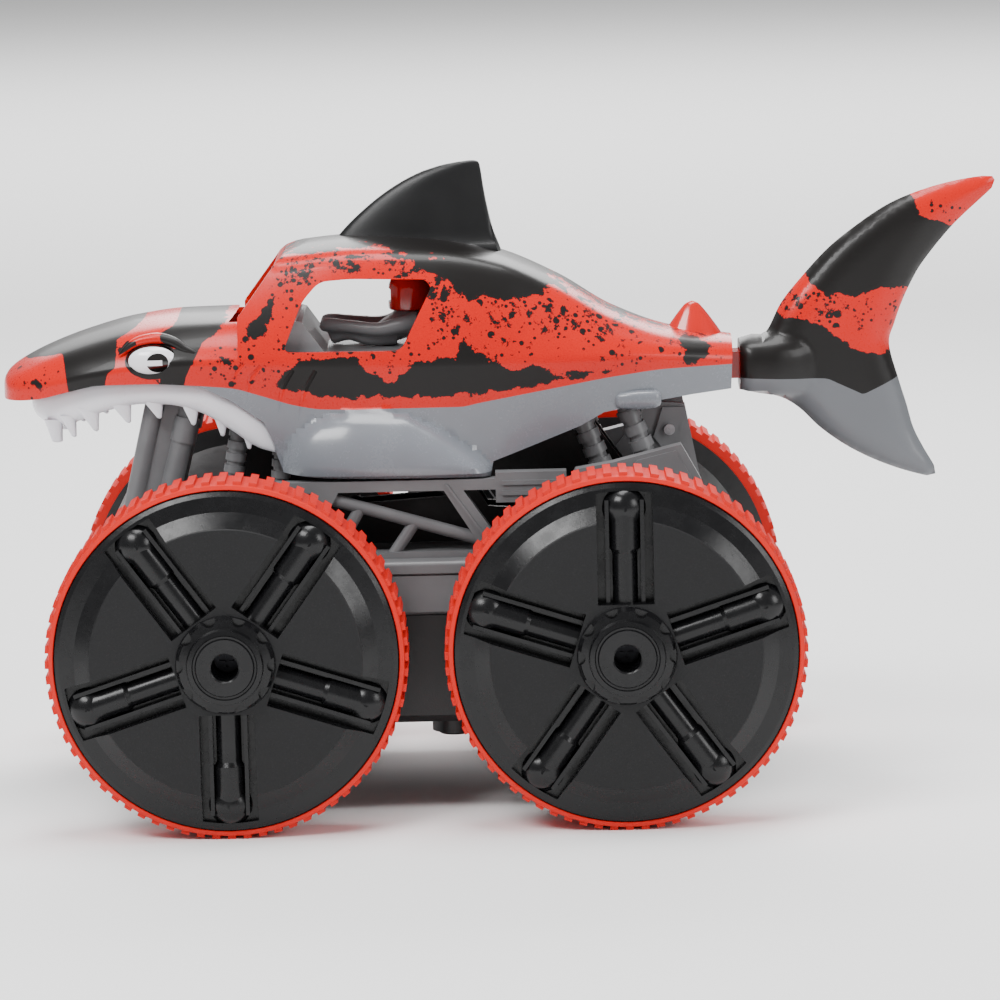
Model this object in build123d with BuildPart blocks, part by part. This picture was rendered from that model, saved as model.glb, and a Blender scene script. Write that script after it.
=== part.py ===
from build123d import *
import math
import os

# Skid-steered stunt car with a shark body on four big float wheels.
# +Z is up, the nose points along -X and the left side faces -Y.
# The origin is on the ground under the middle of the overall length.

os.makedirs("parts", exist_ok=True)

# ---------------------------------------------------------------- driving dimensions, mm
LENGTH = 314.0              # nose to tail tip
NOSE_X = -132.6             # nose, measured from the point midway between the axles
MID = -LENGTH / 2 - NOSE_X  # x of that point in the car's frame
WHEELBASE = 121.0
AXLE_Z = 55.0

TYRE_R = 55.0               # over the lugs
LUG_H = 1.1
LUGS = 72
RIM_R = 50.0                # seat of the tyre on the wheel
DISC_R = 52.3
TREAD_W = 20.0
DISC_Y = 85.0               # outer edge plane of the wheel disc, from the car's centre
HUB_PROUD = 11.0            # hub rim beyond that plane
SPOKES = 5
CHANNEL_W = 17.0
CHANNEL_END = 49.6          # the rim runs unbroken past the channels
CHANNEL_FLOOR = -1.2        # against the disc edge plane
PANEL = 5.0

HULL_HALF_L = 88.0
HULL_HALF_W = 46.0
HULL_Z = (27.0, 61.0)
WALL = 2.0
DECK_TOP = 78.0
DECK_FRONT = -99.0
DECK_REAR = 90.0

SKIN = 1.8                  # moulded body shell thickness
TAIL_PIVOT = (103.0, 3.0)   # aft of mid-wheelbase, and pin diameter
RUN = 0.05                  # radial clearance of a running fit

MODULE = 1.0
TEETH_CENTRE = 15
TEETH_IDLER = 36
TEETH_AXLE = 34
MODULE_FAST = 0.6
TEETH_BIG = 40
TEETH_PINION = 10
IDLER_X = MODULE * (TEETH_CENTRE + TEETH_IDLER) / 2
MOTOR_Z = AXLE_Z - MODULE_FAST * (TEETH_BIG + TEETH_PINION) / 2
GEAR_Y = (37.0, 40.5)       # plane of the wide gears
FAST_Y = (41.0, 43.0)       # plane of the motor's gear pair

LEFT, RIGHT = -1, 1


# ---------------------------------------------------------------- planes and small helpers
def side_plane(y=0.0):
    """Side view: local x runs aft from mid-wheelbase, local y is the height."""
    return Plane(origin=(MID, y, 0), x_dir=(1, 0, 0), z_dir=(0, -1, 0))


def station(x):
    """Cross-section at a distance aft of mid-wheelbase: local x is +Y, local y is +Z."""
    return Plane(origin=(MID + x, 0, 0), x_dir=(0, 1, 0), z_dir=(1, 0, 0))


def level(z, x=0.0, y=0.0):
    """Plan view at a height, with its origin moved aft by x and to the right by y."""
    return Plane(origin=(MID + x, y, z))


def place(x, y, z):
    return (MID + x, y, z)


def rod(start, end, radius, mode=Mode.ADD):
    """Round bar between two points; adds to the part being built."""
    a = Vector(*place(*start))
    b = Vector(*place(*end))
    with BuildSketch(Plane(origin=a, z_dir=b - a)) as end_face:
        Circle(radius)
    extrude(end_face.sketch, amount=(b - a).length, mode=mode)


def slab(points, y_low, y_high, mode=Mode.ADD):
    """Side-view polygon extruded between two y values."""
    with BuildSketch(side_plane(y_low)) as outline:
        with BuildLine():
            Polyline(*points, close=True)
        make_face()
    extrude(outline.sketch, amount=y_low - y_high, mode=mode)


def block(low, high, mode=Mode.ADD):
    """Box between two corners given from mid-wheelbase."""
    centre = [(p + q) / 2 for p, q in zip(low, high)]
    with Locations(place(*centre)):
        Box(*[q - p for p, q in zip(low, high)], mode=mode)


def save(part, name):
    part.label = name
    export_step(part, f"parts/{name}.step")


# ---------------------------------------------------------------- wheels
# Wheels are made once about the Z axis, with Z = 0 at the disc edge plane and +Z outboard.
def ring_profile(points, mode=Mode.ADD):
    """Turned shape about the wheel's axis from (radius, height) corners."""
    with BuildSketch(Plane.XZ) as profile:
        with BuildLine():
            Polyline(*points, close=True)
        make_face()
    revolve(profile.sketch, axis=Axis.Z, mode=mode)


with BuildPart() as tyre:
    with BuildSketch(Plane.XY.offset(-TREAD_W)):
        Circle(TYRE_R - LUG_H)
        with PolarLocations(TYRE_R - LUG_H, LUGS):
            Rectangle(2 * LUG_H, 2.4)
        Circle(RIM_R, mode=Mode.SUBTRACT)
    extrude(amount=TREAD_W - 1.2)
    ring_profile([
        (RIM_R, -1.2),
        (TYRE_R - LUG_H + 0.1, -1.2),
        (TYRE_R - LUG_H - 0.2, -0.3),
        (DISC_R + 0.3, 0.0),
        (DISC_R + 0.02, -0.3),
        (DISC_R + 0.02, -1.0),
        (RIM_R, -1.0),
    ])

with BuildPart() as wheel_disc:
    # dished shell: hub boss, flat panels, conical chamfer and rounded rim
    ring_profile([
        (4.15, -6.0),
        (4.15, HUB_PROUD - 0.4),
        (4.6, HUB_PROUD),
        (8.6, HUB_PROUD),
        (9.0, 10.3),
        (9.6, 10.3),
        (9.9, 10.7),
        (11.3, 10.4),
        (11.7, 8.6),
        (14.0, 8.0),
        (15.2, PANEL),
        (41.0, PANEL),
        (46.0, 1.6),
        (50.6, 0.9),
        (DISC_R - 0.4, 0.2),
        (DISC_R, -0.9),
        (RIM_R, -0.9),
        (RIM_R, -4.0),
        (48.0, -4.0),
        (48.0, -1.3),
        (45.4, -0.8),
        (40.2, PANEL - 2.2),
        (16.0, PANEL - 2.2),
        (12.0, 3.0),
        (12.0, -6.0),
    ])
    with PolarLocations(14.6, 10, start_angle=18):
        with Locations((0, 0, 7.6)):
            Cylinder(2.0, 3.0, mode=Mode.SUBTRACT)
    # radial channels with a stepped centre bar, two thin ribs and a domed end inside the rim
    with PolarLocations(0, SPOKES):
        with Locations((32.2, 0, 0.9)):
            Box(36.0, CHANNEL_W + 3.0, 8.2)
    ring_profile(
        [(41.0, PANEL), (46.0, 1.6), (50.6, 0.9), (DISC_R - 0.4, 0.2), (60, 0.2), (60, 12), (41.0, 12)],
        Mode.SUBTRACT,
    )
    with BuildPart(mode=Mode.PRIVATE) as channels:
        with PolarLocations(0, SPOKES):
            with Locations((15.5, 0, CHANNEL_FLOOR)):
                Box(40.0, CHANNEL_W, 8.0, align=(Align.MIN, Align.CENTER, Align.MIN))
        with Locations((0, 0, 0)):
            Cylinder(CHANNEL_END, 30.0, mode=Mode.INTERSECT)
    add(channels.part, mode=Mode.SUBTRACT)
    with PolarLocations(0, SPOKES):
        with Locations((30.5, -5.3, 0.4), (30.5, 5.3, 0.4)):
            Box(33.0, 1.2, 3.6)
        with Locations((23.0, 0, CHANNEL_FLOOR)):
            Cylinder(3.8, 20.0, rotation=(0, 90, 0))
        with Locations((38.5, 0, CHANNEL_FLOOR)):
            Cylinder(4.7, 13.0, rotation=(0, 90, 0))
        with Locations((31.6, 0, CHANNEL_FLOOR)):
            Cone(3.8, 4.7, 1.8, rotation=(0, 90, 0))
        with Locations((44.2, 0, CHANNEL_FLOOR - 2.0)):
            Sphere(6.9)
    # trim what hangs under the disc or past its rim
    with Locations((0, 0, -4.0 - 5)):
        Cylinder(60.0, 10.0, mode=Mode.SUBTRACT)
    ring_profile(
        [(RIM_R, -10), (RIM_R, -0.9), (DISC_R, -0.9), (DISC_R, 6), (60, 6), (60, -10)],
        Mode.SUBTRACT,
    )
    ring_profile([(4.15, -6), (4.15, 2), (12, 2), (12, -6)])

with BuildPart() as wheel_drum:
    # float drum: tyre seat, tapered inboard wall and hub tube
    ring_profile([
        (3.0, -35.5),
        (8.0, -35.5),
        (8.0, -31.0),
        (30.0, -31.0),
        (46.0, -22.0),
        (51.6, -21.4),
        (51.6, -TREAD_W),
        (RIM_R, -TREAD_W),
        (RIM_R, -4.0),
        (48.2, -4.0),
        (48.2, -20.2),
        (45.2, -20.2),
        (29.5, -29.2),
        (8.0, -29.2),
        (8.0, -6.0),
        (3.0, -6.0),
    ])
    with PolarLocations(19.0, 6):
        with Locations((0, 0, -31.4)):
            Box(21.0, 1.6, 0.9)

with BuildPart() as wheel_screw:
    with Locations((0, 0, -5.0)):
        Cylinder(3.6, 2.0)
    with Locations((0, 0, -4.4)):
        Box(4.6, 0.9, 1.0, mode=Mode.SUBTRACT)
        Box(0.9, 4.6, 1.0, mode=Mode.SUBTRACT)
    with Locations((0, 0, -10.0)):
        Cylinder(1.2, 8.0)


def gear_blank(teeth, module, phase):
    """Spur gear outline with straight-flanked teeth; the first tooth stands at the phase angle."""
    pitch_r = teeth * module / 2
    root_r = pitch_r - 1.15 * module
    tip_r = pitch_r + 0.85 * module
    step = 360 / teeth
    half_root = math.degrees(1.02 * module / root_r)
    half_tip = math.degrees(0.32 * module / tip_r)
    outline = []
    for i in range(teeth):
        middle = phase + i * step
        for radius, angle in (
            (root_r, middle - half_root),
            (tip_r, middle - half_tip),
            (tip_r, middle + half_tip),
            (root_r, middle + half_root),
        ):
            turn = math.radians(angle)
            outline.append((radius * math.cos(turn), radius * math.sin(turn)))
    with BuildLine() as rim:
        Polyline(*outline, close=True)
    make_face(rim.edges())


def gear_plane(x, z, side, y):
    """Plane at a gear's inboard face, seen from the left so that phases match on both sides."""
    return Plane(origin=place(x, side * y, z), x_dir=(1, 0, 0), z_dir=(0, -1, 0))


def outboard(side, amount):
    """Signed extrusion length on a gear plane that runs away from the car's centre."""
    return -side * amount


AXLES = {
    "front": (-WHEELBASE / 2, 180 / TEETH_AXLE, 270),
    "rear": (WHEELBASE / 2, 180.0, 90),
}
SIDES = {"left": LEFT, "right": RIGHT}

for axle, (axle_x, axle_phase, spoke_angle) in AXLES.items():
    for side_name, side in SIDES.items():
        wheel_plane = Plane(
            origin=place(axle_x, side * DISC_Y, AXLE_Z),
            x_dir=(1, 0, 0),
            z_dir=(0, side, 0),
        )
        for piece_name, piece in (
            ("tyre", tyre),
            ("wheel_disc", wheel_disc),
            ("wheel_drum", wheel_drum),
            ("wheel_screw", wheel_screw),
        ):
            with BuildPart() as placed:
                with Locations(wheel_plane):
                    add(piece.part, rotation=(0, 0, spoke_angle))
            save(placed.part, f"{axle}_{side_name}_{piece_name}")

        with BuildPart() as axle_gear:
            with BuildSketch(gear_plane(axle_x, AXLE_Z, side, GEAR_Y[0])):
                gear_blank(TEETH_AXLE, MODULE, axle_phase)
            extrude(amount=outboard(side, GEAR_Y[1] - GEAR_Y[0]))
            with BuildSketch(gear_plane(axle_x, AXLE_Z, side, 36.2)):
                Circle(3.0)
            extrude(amount=outboard(side, DISC_Y - 6.0 - 36.2))
            with BuildSketch(gear_plane(axle_x, AXLE_Z, side, DISC_Y - 6.0)):
                Circle(1.2)
            extrude(amount=outboard(side, -8.0), mode=Mode.SUBTRACT)
        save(axle_gear.part, f"{axle}_{side_name}_axle_gear")

# ---------------------------------------------------------------- gear trains and motors
for side_name, side in SIDES.items():
    for axle, idler_x, idler_phase in (("front", -IDLER_X, 0.0), ("rear", IDLER_X, 5.0)):
        with BuildPart() as idler:
            with BuildSketch(gear_plane(idler_x, AXLE_Z, side, GEAR_Y[0])):
                gear_blank(TEETH_IDLER, MODULE, idler_phase)
                Circle(1.5 + RUN, mode=Mode.SUBTRACT)
                with PolarLocations(9.5, 5):
                    Circle(3.0, mode=Mode.SUBTRACT)
            extrude(amount=outboard(side, GEAR_Y[1] - GEAR_Y[0]))
        save(idler.part, f"{axle}_{side_name}_idler_gear")

    with BuildPart() as compound:
        with BuildSketch(gear_plane(0, AXLE_Z, side, GEAR_Y[0])):
            gear_blank(TEETH_CENTRE, MODULE, 0.0)
            Circle(1.5 + RUN, mode=Mode.SUBTRACT)
        extrude(amount=outboard(side, FAST_Y[0] - GEAR_Y[0]))
        with BuildSketch(gear_plane(0, AXLE_Z, side, FAST_Y[0])):
            gear_blank(TEETH_BIG, MODULE_FAST, 90.0 + 180 / TEETH_BIG)
            Circle(1.5 + RUN, mode=Mode.SUBTRACT)
        extrude(amount=outboard(side, FAST_Y[1] - FAST_Y[0]))
    save(compound.part, f"{side_name}_compound_gear")

    with BuildPart() as pinion:
        with BuildSketch(gear_plane(0, MOTOR_Z, side, FAST_Y[0])):
            gear_blank(TEETH_PINION, MODULE_FAST, 90.0)
            Circle(1.0, mode=Mode.SUBTRACT)
        extrude(amount=outboard(side, FAST_Y[1] - FAST_Y[0]))
        with BuildSketch(gear_plane(0, MOTOR_Z, side, 34.0)):
            Circle(1.0)
        extrude(amount=outboard(side, FAST_Y[1] - 34.0))
    save(pinion.part, f"{side_name}_motor_pinion")

with BuildPart() as drive_motors:
    for side in SIDES.values():
        with BuildSketch(gear_plane(0, MOTOR_Z, side, 7.0)):
            Circle(10.0)
            Rectangle(20.0, 15.0, mode=Mode.INTERSECT)
        extrude(amount=outboard(side, 25.0))
        with BuildSketch(gear_plane(0, MOTOR_Z, side, 32.0)):
            Circle(3.0)
        extrude(amount=outboard(side, 1.5))
save(drive_motors.part, "drive_motors")

# ---------------------------------------------------------------- hull, deck cover and what they hold
HULL_CORNER = 9.0
DOOR_X, DOOR_L, DOOR_W = -38.0, 56.0, 38.0
BUTTON_X, BUTTON_Y, COLLAR_R = 7.5, -25.0, 7.0
BUSH_R = 4.6
PARTITION_Y = (34.6, 36.0)
POSTS = [(x, y) for x in (-80.0, 80.0) for y in (-27.0, 27.0)]

with BuildPart() as hull_tub:
    with BuildSketch(level(HULL_Z[0])):
        RectangleRounded(2 * HULL_HALF_L, 2 * HULL_HALF_W, HULL_CORNER)
    extrude(amount=HULL_Z[1] - HULL_Z[0])
    belly_edge = hull_tub.faces().sort_by(Axis.Z)[0].edges()
    chamfer(belly_edge, length=2.5)
    with BuildSketch(level(HULL_Z[0] + WALL)):
        RectangleRounded(2 * (HULL_HALF_L - WALL), 2 * (HULL_HALF_W - WALL), HULL_CORNER - WALL)
    extrude(amount=HULL_Z[1] - HULL_Z[0], mode=Mode.SUBTRACT)
    # gear bay partitions with motor openings and bearing saddles
    for side in SIDES.values():
        y_low, y_high = sorted(side * y for y in PARTITION_Y)
        block((-HULL_HALF_L + WALL, y_low, HULL_Z[0] + WALL), (HULL_HALF_L - WALL, y_high, HULL_Z[1]))
        with BuildSketch(gear_plane(0, MOTOR_Z, side, PARTITION_Y[0])):
            Circle(4.0)
        extrude(amount=outboard(side, PARTITION_Y[1] - PARTITION_Y[0]), mode=Mode.SUBTRACT)
        # gear pins stand on the partition and reach the outer wall
        for pin_x in (-IDLER_X, 0, IDLER_X):
            with BuildSketch(gear_plane(pin_x, AXLE_Z, side, PARTITION_Y[1])):
                Circle(1.5)
            extrude(amount=outboard(side, HULL_HALF_W - WALL - PARTITION_Y[1]))
            with BuildSketch(gear_plane(pin_x, AXLE_Z, side, PARTITION_Y[1])):
                Circle(3.5)
            extrude(amount=outboard(side, 0.7))
        for axle_x in (-WHEELBASE / 2, WHEELBASE / 2):
            with BuildSketch(gear_plane(axle_x, AXLE_Z, side, HULL_HALF_W - WALL)):
                Circle(BUSH_R)
            extrude(amount=outboard(side, WALL), mode=Mode.SUBTRACT)
    # battery opening with a ledge for its door
    with BuildSketch(level(HULL_Z[0], DOOR_X)):
        RectangleRounded(DOOR_L - 5, DOOR_W - 5, 2)
    extrude(amount=WALL, mode=Mode.SUBTRACT)
    with BuildSketch(level(HULL_Z[0], DOOR_X)):
        RectangleRounded(DOOR_L, DOOR_W, 3)
    extrude(amount=1.2, mode=Mode.SUBTRACT)
    # collar of the power button
    with BuildSketch(level(HULL_Z[0], BUTTON_X, BUTTON_Y)):
        Circle(COLLAR_R)
        Circle(5.2, mode=Mode.SUBTRACT)
    extrude(amount=-6.0)
    with BuildSketch(level(HULL_Z[0] - 6.0, BUTTON_X, BUTTON_Y)):
        Circle(5.2)
    extrude(amount=6.0 + WALL, mode=Mode.SUBTRACT)
    # screw posts for the deck cover
    for post_x, post_y in POSTS:
        with BuildSketch(level(HULL_Z[0] + WALL, post_x, post_y)):
            Circle(3.5)
        extrude(amount=HULL_Z[1] - HULL_Z[0] - WALL)
        with BuildSketch(level(HULL_Z[1] - 10.0, post_x, post_y)):
            Circle(1.25)
        extrude(amount=10.0, mode=Mode.SUBTRACT)
save(hull_tub.part, "hull_tub")

with BuildPart() as battery_door:
    with BuildSketch(level(HULL_Z[0], DOOR_X)):
        RectangleRounded(DOOR_L - 0.4, DOOR_W - 0.4, 2.8)
    extrude(amount=1.2)
    with BuildSketch(level(HULL_Z[0] + 0.8, DOOR_X - 20)):
        with GridLocations(3.0, 0, 4, 1):
            SlotOverall(12.0, 1.2, rotation=90)
    extrude(amount=-0.8, mode=Mode.SUBTRACT)
    with BuildSketch(level(HULL_Z[0], DOOR_X + DOOR_L / 2 - 7)):
        Circle(2.6)
    extrude(amount=0.7, mode=Mode.SUBTRACT)
save(battery_door.part, "battery_door")

with BuildPart() as battery_pack:
    with BuildSketch(level(HULL_Z[0] + WALL + 0.3, DOOR_X)):
        RectangleRounded(48, 30, 3)
    extrude(amount=17.0)
    with BuildSketch(level(HULL_Z[0] + WALL + 17.3, DOOR_X)):
        with GridLocations(0, 14.6, 1, 2):
            RectangleRounded(46, 12, 3)
    extrude(amount=1.2)
save(battery_pack.part, "battery_pack")

with BuildPart() as circuit_board:
    with BuildSketch(level(57.0, 44.0)):
        Rectangle(58, 40)
        with GridLocations(52, 34, 2, 2):
            Circle(1.3, mode=Mode.SUBTRACT)
    extrude(amount=1.6)
    for chip_x, chip_y, chip_l, chip_w, chip_h in (
        (36, -6, 12, 8, 1.6),
        (52, 8, 9, 9, 1.8),
        (60, -10, 5, 12, 4.0),
        (30, 12, 8, 5, 3.0),
    ):
        block((chip_x, chip_y, 58.6), (chip_x + chip_l, chip_y + chip_w * 0.9, 58.6 + chip_h))
save(circuit_board.part, "circuit_board")

with BuildPart() as power_button:
    with BuildSketch(level(HULL_Z[0] - 7.2, BUTTON_X, BUTTON_Y)):
        Circle(5.0)
    extrude(amount=8.2)
    fillet(power_button.faces().sort_by(Axis.Z)[0].edges(), radius=0.8)
    with BuildSketch(level(HULL_Z[0] - 7.2, BUTTON_X, BUTTON_Y)):
        Circle(3.2)
        Circle(2.4, mode=Mode.SUBTRACT)
    extrude(amount=0.5, mode=Mode.SUBTRACT)
save(power_button.part, "power_button")

with BuildPart() as axle_bushes:
    for side in SIDES.values():
        for axle_x in (-WHEELBASE / 2, WHEELBASE / 2):
            with BuildSketch(gear_plane(axle_x, AXLE_Z, side, HULL_HALF_W - WALL)):
                Circle(BUSH_R)
                Circle(3.0 + RUN, mode=Mode.SUBTRACT)
            extrude(amount=outboard(side, WALL))
            with BuildSketch(gear_plane(axle_x, AXLE_Z, side, HULL_HALF_W)):
                Circle(5.8)
                Circle(3.0 + RUN, mode=Mode.SUBTRACT)
            extrude(amount=outboard(side, 1.6))
save(axle_bushes.part, "axle_bushes")

with BuildPart() as deck_cover:
    with BuildSketch(level(HULL_Z[1])):
        RectangleRounded(2 * HULL_HALF_L + 1, 2 * HULL_HALF_W + 1, HULL_CORNER)
    extrude(amount=12.5)
    lower_rim = deck_cover.faces().sort_by(Axis.Z)[0].edges()
    chamfer(lower_rim, length=1.2)
    deck_mid = (DECK_FRONT + DECK_REAR) / 2
    deck_length = DECK_REAR - DECK_FRONT
    with BuildSketch(level(HULL_Z[1] + 12.0, deck_mid)):
        RectangleRounded(deck_length - 3, 2 * HULL_HALF_W - 1, HULL_CORNER)
    extrude(amount=1.5)
    with BuildSketch(level(HULL_Z[1] + 13.3, deck_mid)):
        RectangleRounded(deck_length, 2 * HULL_HALF_W + 2, HULL_CORNER)
    extrude(amount=DECK_TOP - HULL_Z[1] - 13.3)
    fillet(deck_cover.faces().sort_by(Axis.Z)[-1].edges(), radius=1.4)
    with BuildSketch(level(HULL_Z[1])):
        RectangleRounded(2 * (HULL_HALF_L - WALL), 2 * (HULL_HALF_W - WALL), HULL_CORNER - WALL)
    extrude(amount=14.0, mode=Mode.SUBTRACT)
    with BuildSketch(level(HULL_Z[1])):
        with Locations(*POSTS):
            Circle(3.5)
    extrude(amount=14.0)
    with BuildSketch(level(HULL_Z[1])):
        with Locations(*POSTS):
            Circle(1.5)
    extrude(amount=DECK_TOP - HULL_Z[1], mode=Mode.SUBTRACT)
save(deck_cover.part, "deck_cover")

# ---------------------------------------------------------------- frame between deck and body
FRAME_Y = (34.0, 40.0)      # side frames stand between these, on both sides
RAIL_TOP = 102.4
PLATE_Y = 9.5               # rear tower plates start here
STRUT_Y = {"front": 20.6, "rear": 17.5}


def stand_on_deck():
    """Cut away whatever reaches below the deck's top face."""
    block((-140, -60, DECK_TOP - 20), (140, 60, DECK_TOP), Mode.SUBTRACT)


for side_name, side in SIDES.items():
    low, high = sorted((side * FRAME_Y[0], side * FRAME_Y[1]))
    mid_y = side * (FRAME_Y[0] + FRAME_Y[1]) / 2
    with BuildPart() as side_frame:
        # sill on the deck, upper rail under the body
        block((-46, low, DECK_TOP), (86, high, DECK_TOP + 2.0))
        slab([(-46, 99), (44, 99), (44, RAIL_TOP), (-46, RAIL_TOP)], low, high)
        # flat braces, the rear one with a raised rib
        slab([(-33, RAIL_TOP), (-25, RAIL_TOP), (-37.5, 79), (-46, 79)], low, high)
        slab([(3.8, RAIL_TOP), (9.7, RAIL_TOP), (25.5, 79), (18.5, 79)], low, high)
        slab([(6.2, 101), (7.2, 101), (22.0, 80), (21.0, 80)], low - 0.7, high + 0.7)
        # long diagonal tube and its stub tubes
        rod((-42, mid_y, 100.4), (28, mid_y, 80.0), 2.0)
        rod((-3.2, mid_y, 89.0), (-11.5, mid_y, 77.0), 1.9)
        rod((-20.0, mid_y, 94.0), (-30.0, mid_y, 77.0), 1.9)
        # ribbed box rail
        slab([(22, 94.9), (44, 94.9), (44, 104.3), (22, 104.3)], low, high)
        for groove_z in (97.2, 100.4):
            block((24, mid_y - 3.6, groove_z), (42, mid_y + 3.6, groove_z + 1.4))
        # sloped bodywork over the rear axle
        slab([(42, 96), (46.9, 104.7), (58.4, 106.6), (79.7, 111.8), (85.8, 100.6), (87.5, 86), (84, 79), (42, 79)],
             low, high)
        slab([(60, 100), (66, 107.2), (78, 110.0), (83.0, 101)], low - 0.6, high + 0.6)
        stand_on_deck()
    save(side_frame.part, f"side_frame_{side_name}")

with BuildPart() as front_tower:
    for side in SIDES.values():
        y_tube = side * 19.0
        rod((-83.0, y_tube, 130.0), (-96.4, y_tube, 74.0), 3.0)
        rod((-71.6, y_tube, 130.0), (-86.4, y_tube, 74.0), 3.4)
        rod((-73.9, y_tube, 121.0), (-75.9, y_tube, 113.4), 4.0)
        low, high = sorted((side * 17.6, side * 20.0))
        slab([(-79.8, 129), (-72.5, 129), (-86.6, 76), (-94.4, 76)], low, high)
    # cross bars tie the two sides together
    rod((-95.0, -31.0, 88.0), (-95.0, 31.0, 88.0), 3.4)
    rod((-77.0, -19.0, 112.0), (-77.0, 19.0, 112.0), 2.4)
    stand_on_deck()
save(front_tower.part, "front_tower")

with BuildPart() as rear_tower:
    for side in SIDES.values():
        low, high = sorted((side * PLATE_Y, side * (PLATE_Y + 3)))
        slab([(69, 122), (82.0, 121), (87.0, 95), (87.0, 76), (66, 76), (66, 100)], low, high)
        low, high = sorted((side * (PLATE_Y + 3), side * (PLATE_Y + 4)))
        slab([(75.0, 120), (82.0, 120), (78.0, 108), (75.4, 106), (72.0, 110.6)], low, high)
    block((80.0, -PLATE_Y, 92.0), (83.0, PLATE_Y, 98.0))
    block((78.0, -PLATE_Y, 112.0), (80.5, PLATE_Y, 117.0))
    stand_on_deck()
save(rear_tower.part, "rear_tower")


def ribbed_strut(top, bottom, radius, rings):
    """Imitation shock absorber: a core rod with a stack of rings and a plain foot."""
    rod(top, bottom, radius * 0.8)
    for i in range(rings):
        upper_share = 0.06 + 0.66 * i / rings
        lower_share = upper_share + 0.42 / rings
        upper = [t + (b - t) * upper_share for t, b in zip(top, bottom)]
        lower = [t + (b - t) * lower_share for t, b in zip(top, bottom)]
        rod(upper, lower, radius)
    foot = [t + (b - t) * 0.74 for t, b in zip(top, bottom)]
    rod(foot, bottom, radius)


with BuildPart() as front_struts:
    for side in SIDES.values():
        y = side * STRUT_Y["front"]
        ribbed_strut((-57.0, y, 120.0), (-65.0, y, 74.0), 3.3, 8)
        ribbed_strut((-44.0, y, 117.0), (-47.5, y, 74.0), 3.1, 8)
    stand_on_deck()
save(front_struts.part, "front_struts")

with BuildPart() as rear_struts:
    for side in SIDES.values():
        y = side * STRUT_Y["rear"]
        ribbed_strut((48.0, y, 121.0), (67.0, y, 74.0), 3.7, 7)
        ribbed_strut((62.5, y, 123.0), (82.5, y, 74.0), 3.7, 7)
    stand_on_deck()
save(rear_struts.part, "rear_struts")

with BuildPart() as body_mount:
    # open black pylon between deck and body
    for side in SIDES.values():
        low, high = sorted((side * 5.5, side * 8.0))
        slab([(-62, DECK_TOP), (-54, 122), (50, 120), (64, 100), (62, DECK_TOP)], low, high)
        slab([(-25, 92.5), (-2, 98.4), (6.5, 92.4), (-21, 90.6)], low, high, Mode.SUBTRACT)
        slab([(16, 94.8), (27, 97), (27.5, 88.4), (19.4, 89)], low, high, Mode.SUBTRACT)
    block((-60, -5.5, DECK_TOP), (-57, 5.5, 105))
    block((58, -5.5, DECK_TOP), (61, 5.5, 100))
    block((-52, -5.5, 117.5), (48, 5.5, 120.0))
save(body_mount.part, "body_mount")

with BuildPart() as frame_screws:
    for post_x, post_y in POSTS:
        with BuildSketch(level(DECK_TOP, post_x, post_y)):
            Circle(2.8)
        extrude(amount=1.4)
        with BuildSketch(level(DECK_TOP + 0.6, post_x, post_y)):
            Rectangle(3.6, 0.8)
            Rectangle(0.8, 3.6)
        extrude(amount=1.0, mode=Mode.SUBTRACT)
        with BuildSketch(level(HULL_Z[1] - 9.0, post_x, post_y)):
            Circle(1.25)
        extrude(amount=DECK_TOP - HULL_Z[1] + 9.0)
    for side in SIDES.values():
        face_y = side * (PLATE_Y + 4)
        rod((77.0, face_y, 113.0), (77.0, face_y + side * 1.4, 113.0), 1.7)
save(frame_screws.part, "frame_screws")

# ---------------------------------------------------------------- shark body shells
# Cross-sections: aft position, half-width low, half-width at the waist, waist height,
# half-width and height of the shoulder crease, and the ridge height.
HEAD = [
    (-132.6, 9.0, 10.0, 131.0, 6.5, 133.2, 134.2),
    (-130.4, 13.0, 14.2, 131.0, 9.5, 134.6, 136.1),
    (-126.0, 17.0, 18.4, 131.6, 12.5, 136.6, 138.9),
    (-117.0, 22.0, 23.6, 133.0, 16.0, 140.6, 143.3),
    (-105.0, 26.5, 28.2, 136.0, 19.0, 144.6, 147.6),
    (-90.0, 29.5, 31.2, 138.5, 21.0, 148.2, 151.4),
    (-74.0, 31.0, 32.4, 140.0, 22.0, 150.2, 153.2),
    (-56.0, 31.5, 32.6, 140.0, 22.5, 150.6, 153.4),
    (-48.0, 31.5, 32.6, 140.0, 22.5, 150.6, 153.4),
]
CABIN = [
    (-62.0, 31.4, 32.6, 140.0, 22.0, 168.2, 171.0),
    (-42.0, 31.7, 32.8, 139.0, 23.2, 169.9, 173.6),
    (-20.0, 31.8, 32.8, 138.5, 24.0, 171.6, 175.4),
    (4.0, 31.6, 32.6, 138.0, 23.8, 170.6, 174.0),
    (24.0, 30.8, 31.8, 138.0, 22.6, 166.9, 169.8),
    (43.0, 28.6, 29.6, 138.0, 19.6, 158.0, 161.6),
    (60.0, 25.4, 26.4, 138.0, 17.0, 148.8, 151.2),
    (78.0, 20.2, 21.2, 137.0, 13.8, 142.8, 144.4),
    (99.0, 13.4, 14.0, 134.5, 9.5, 139.4, 141.0),
]
SHELL_BASE = 98.0


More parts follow.
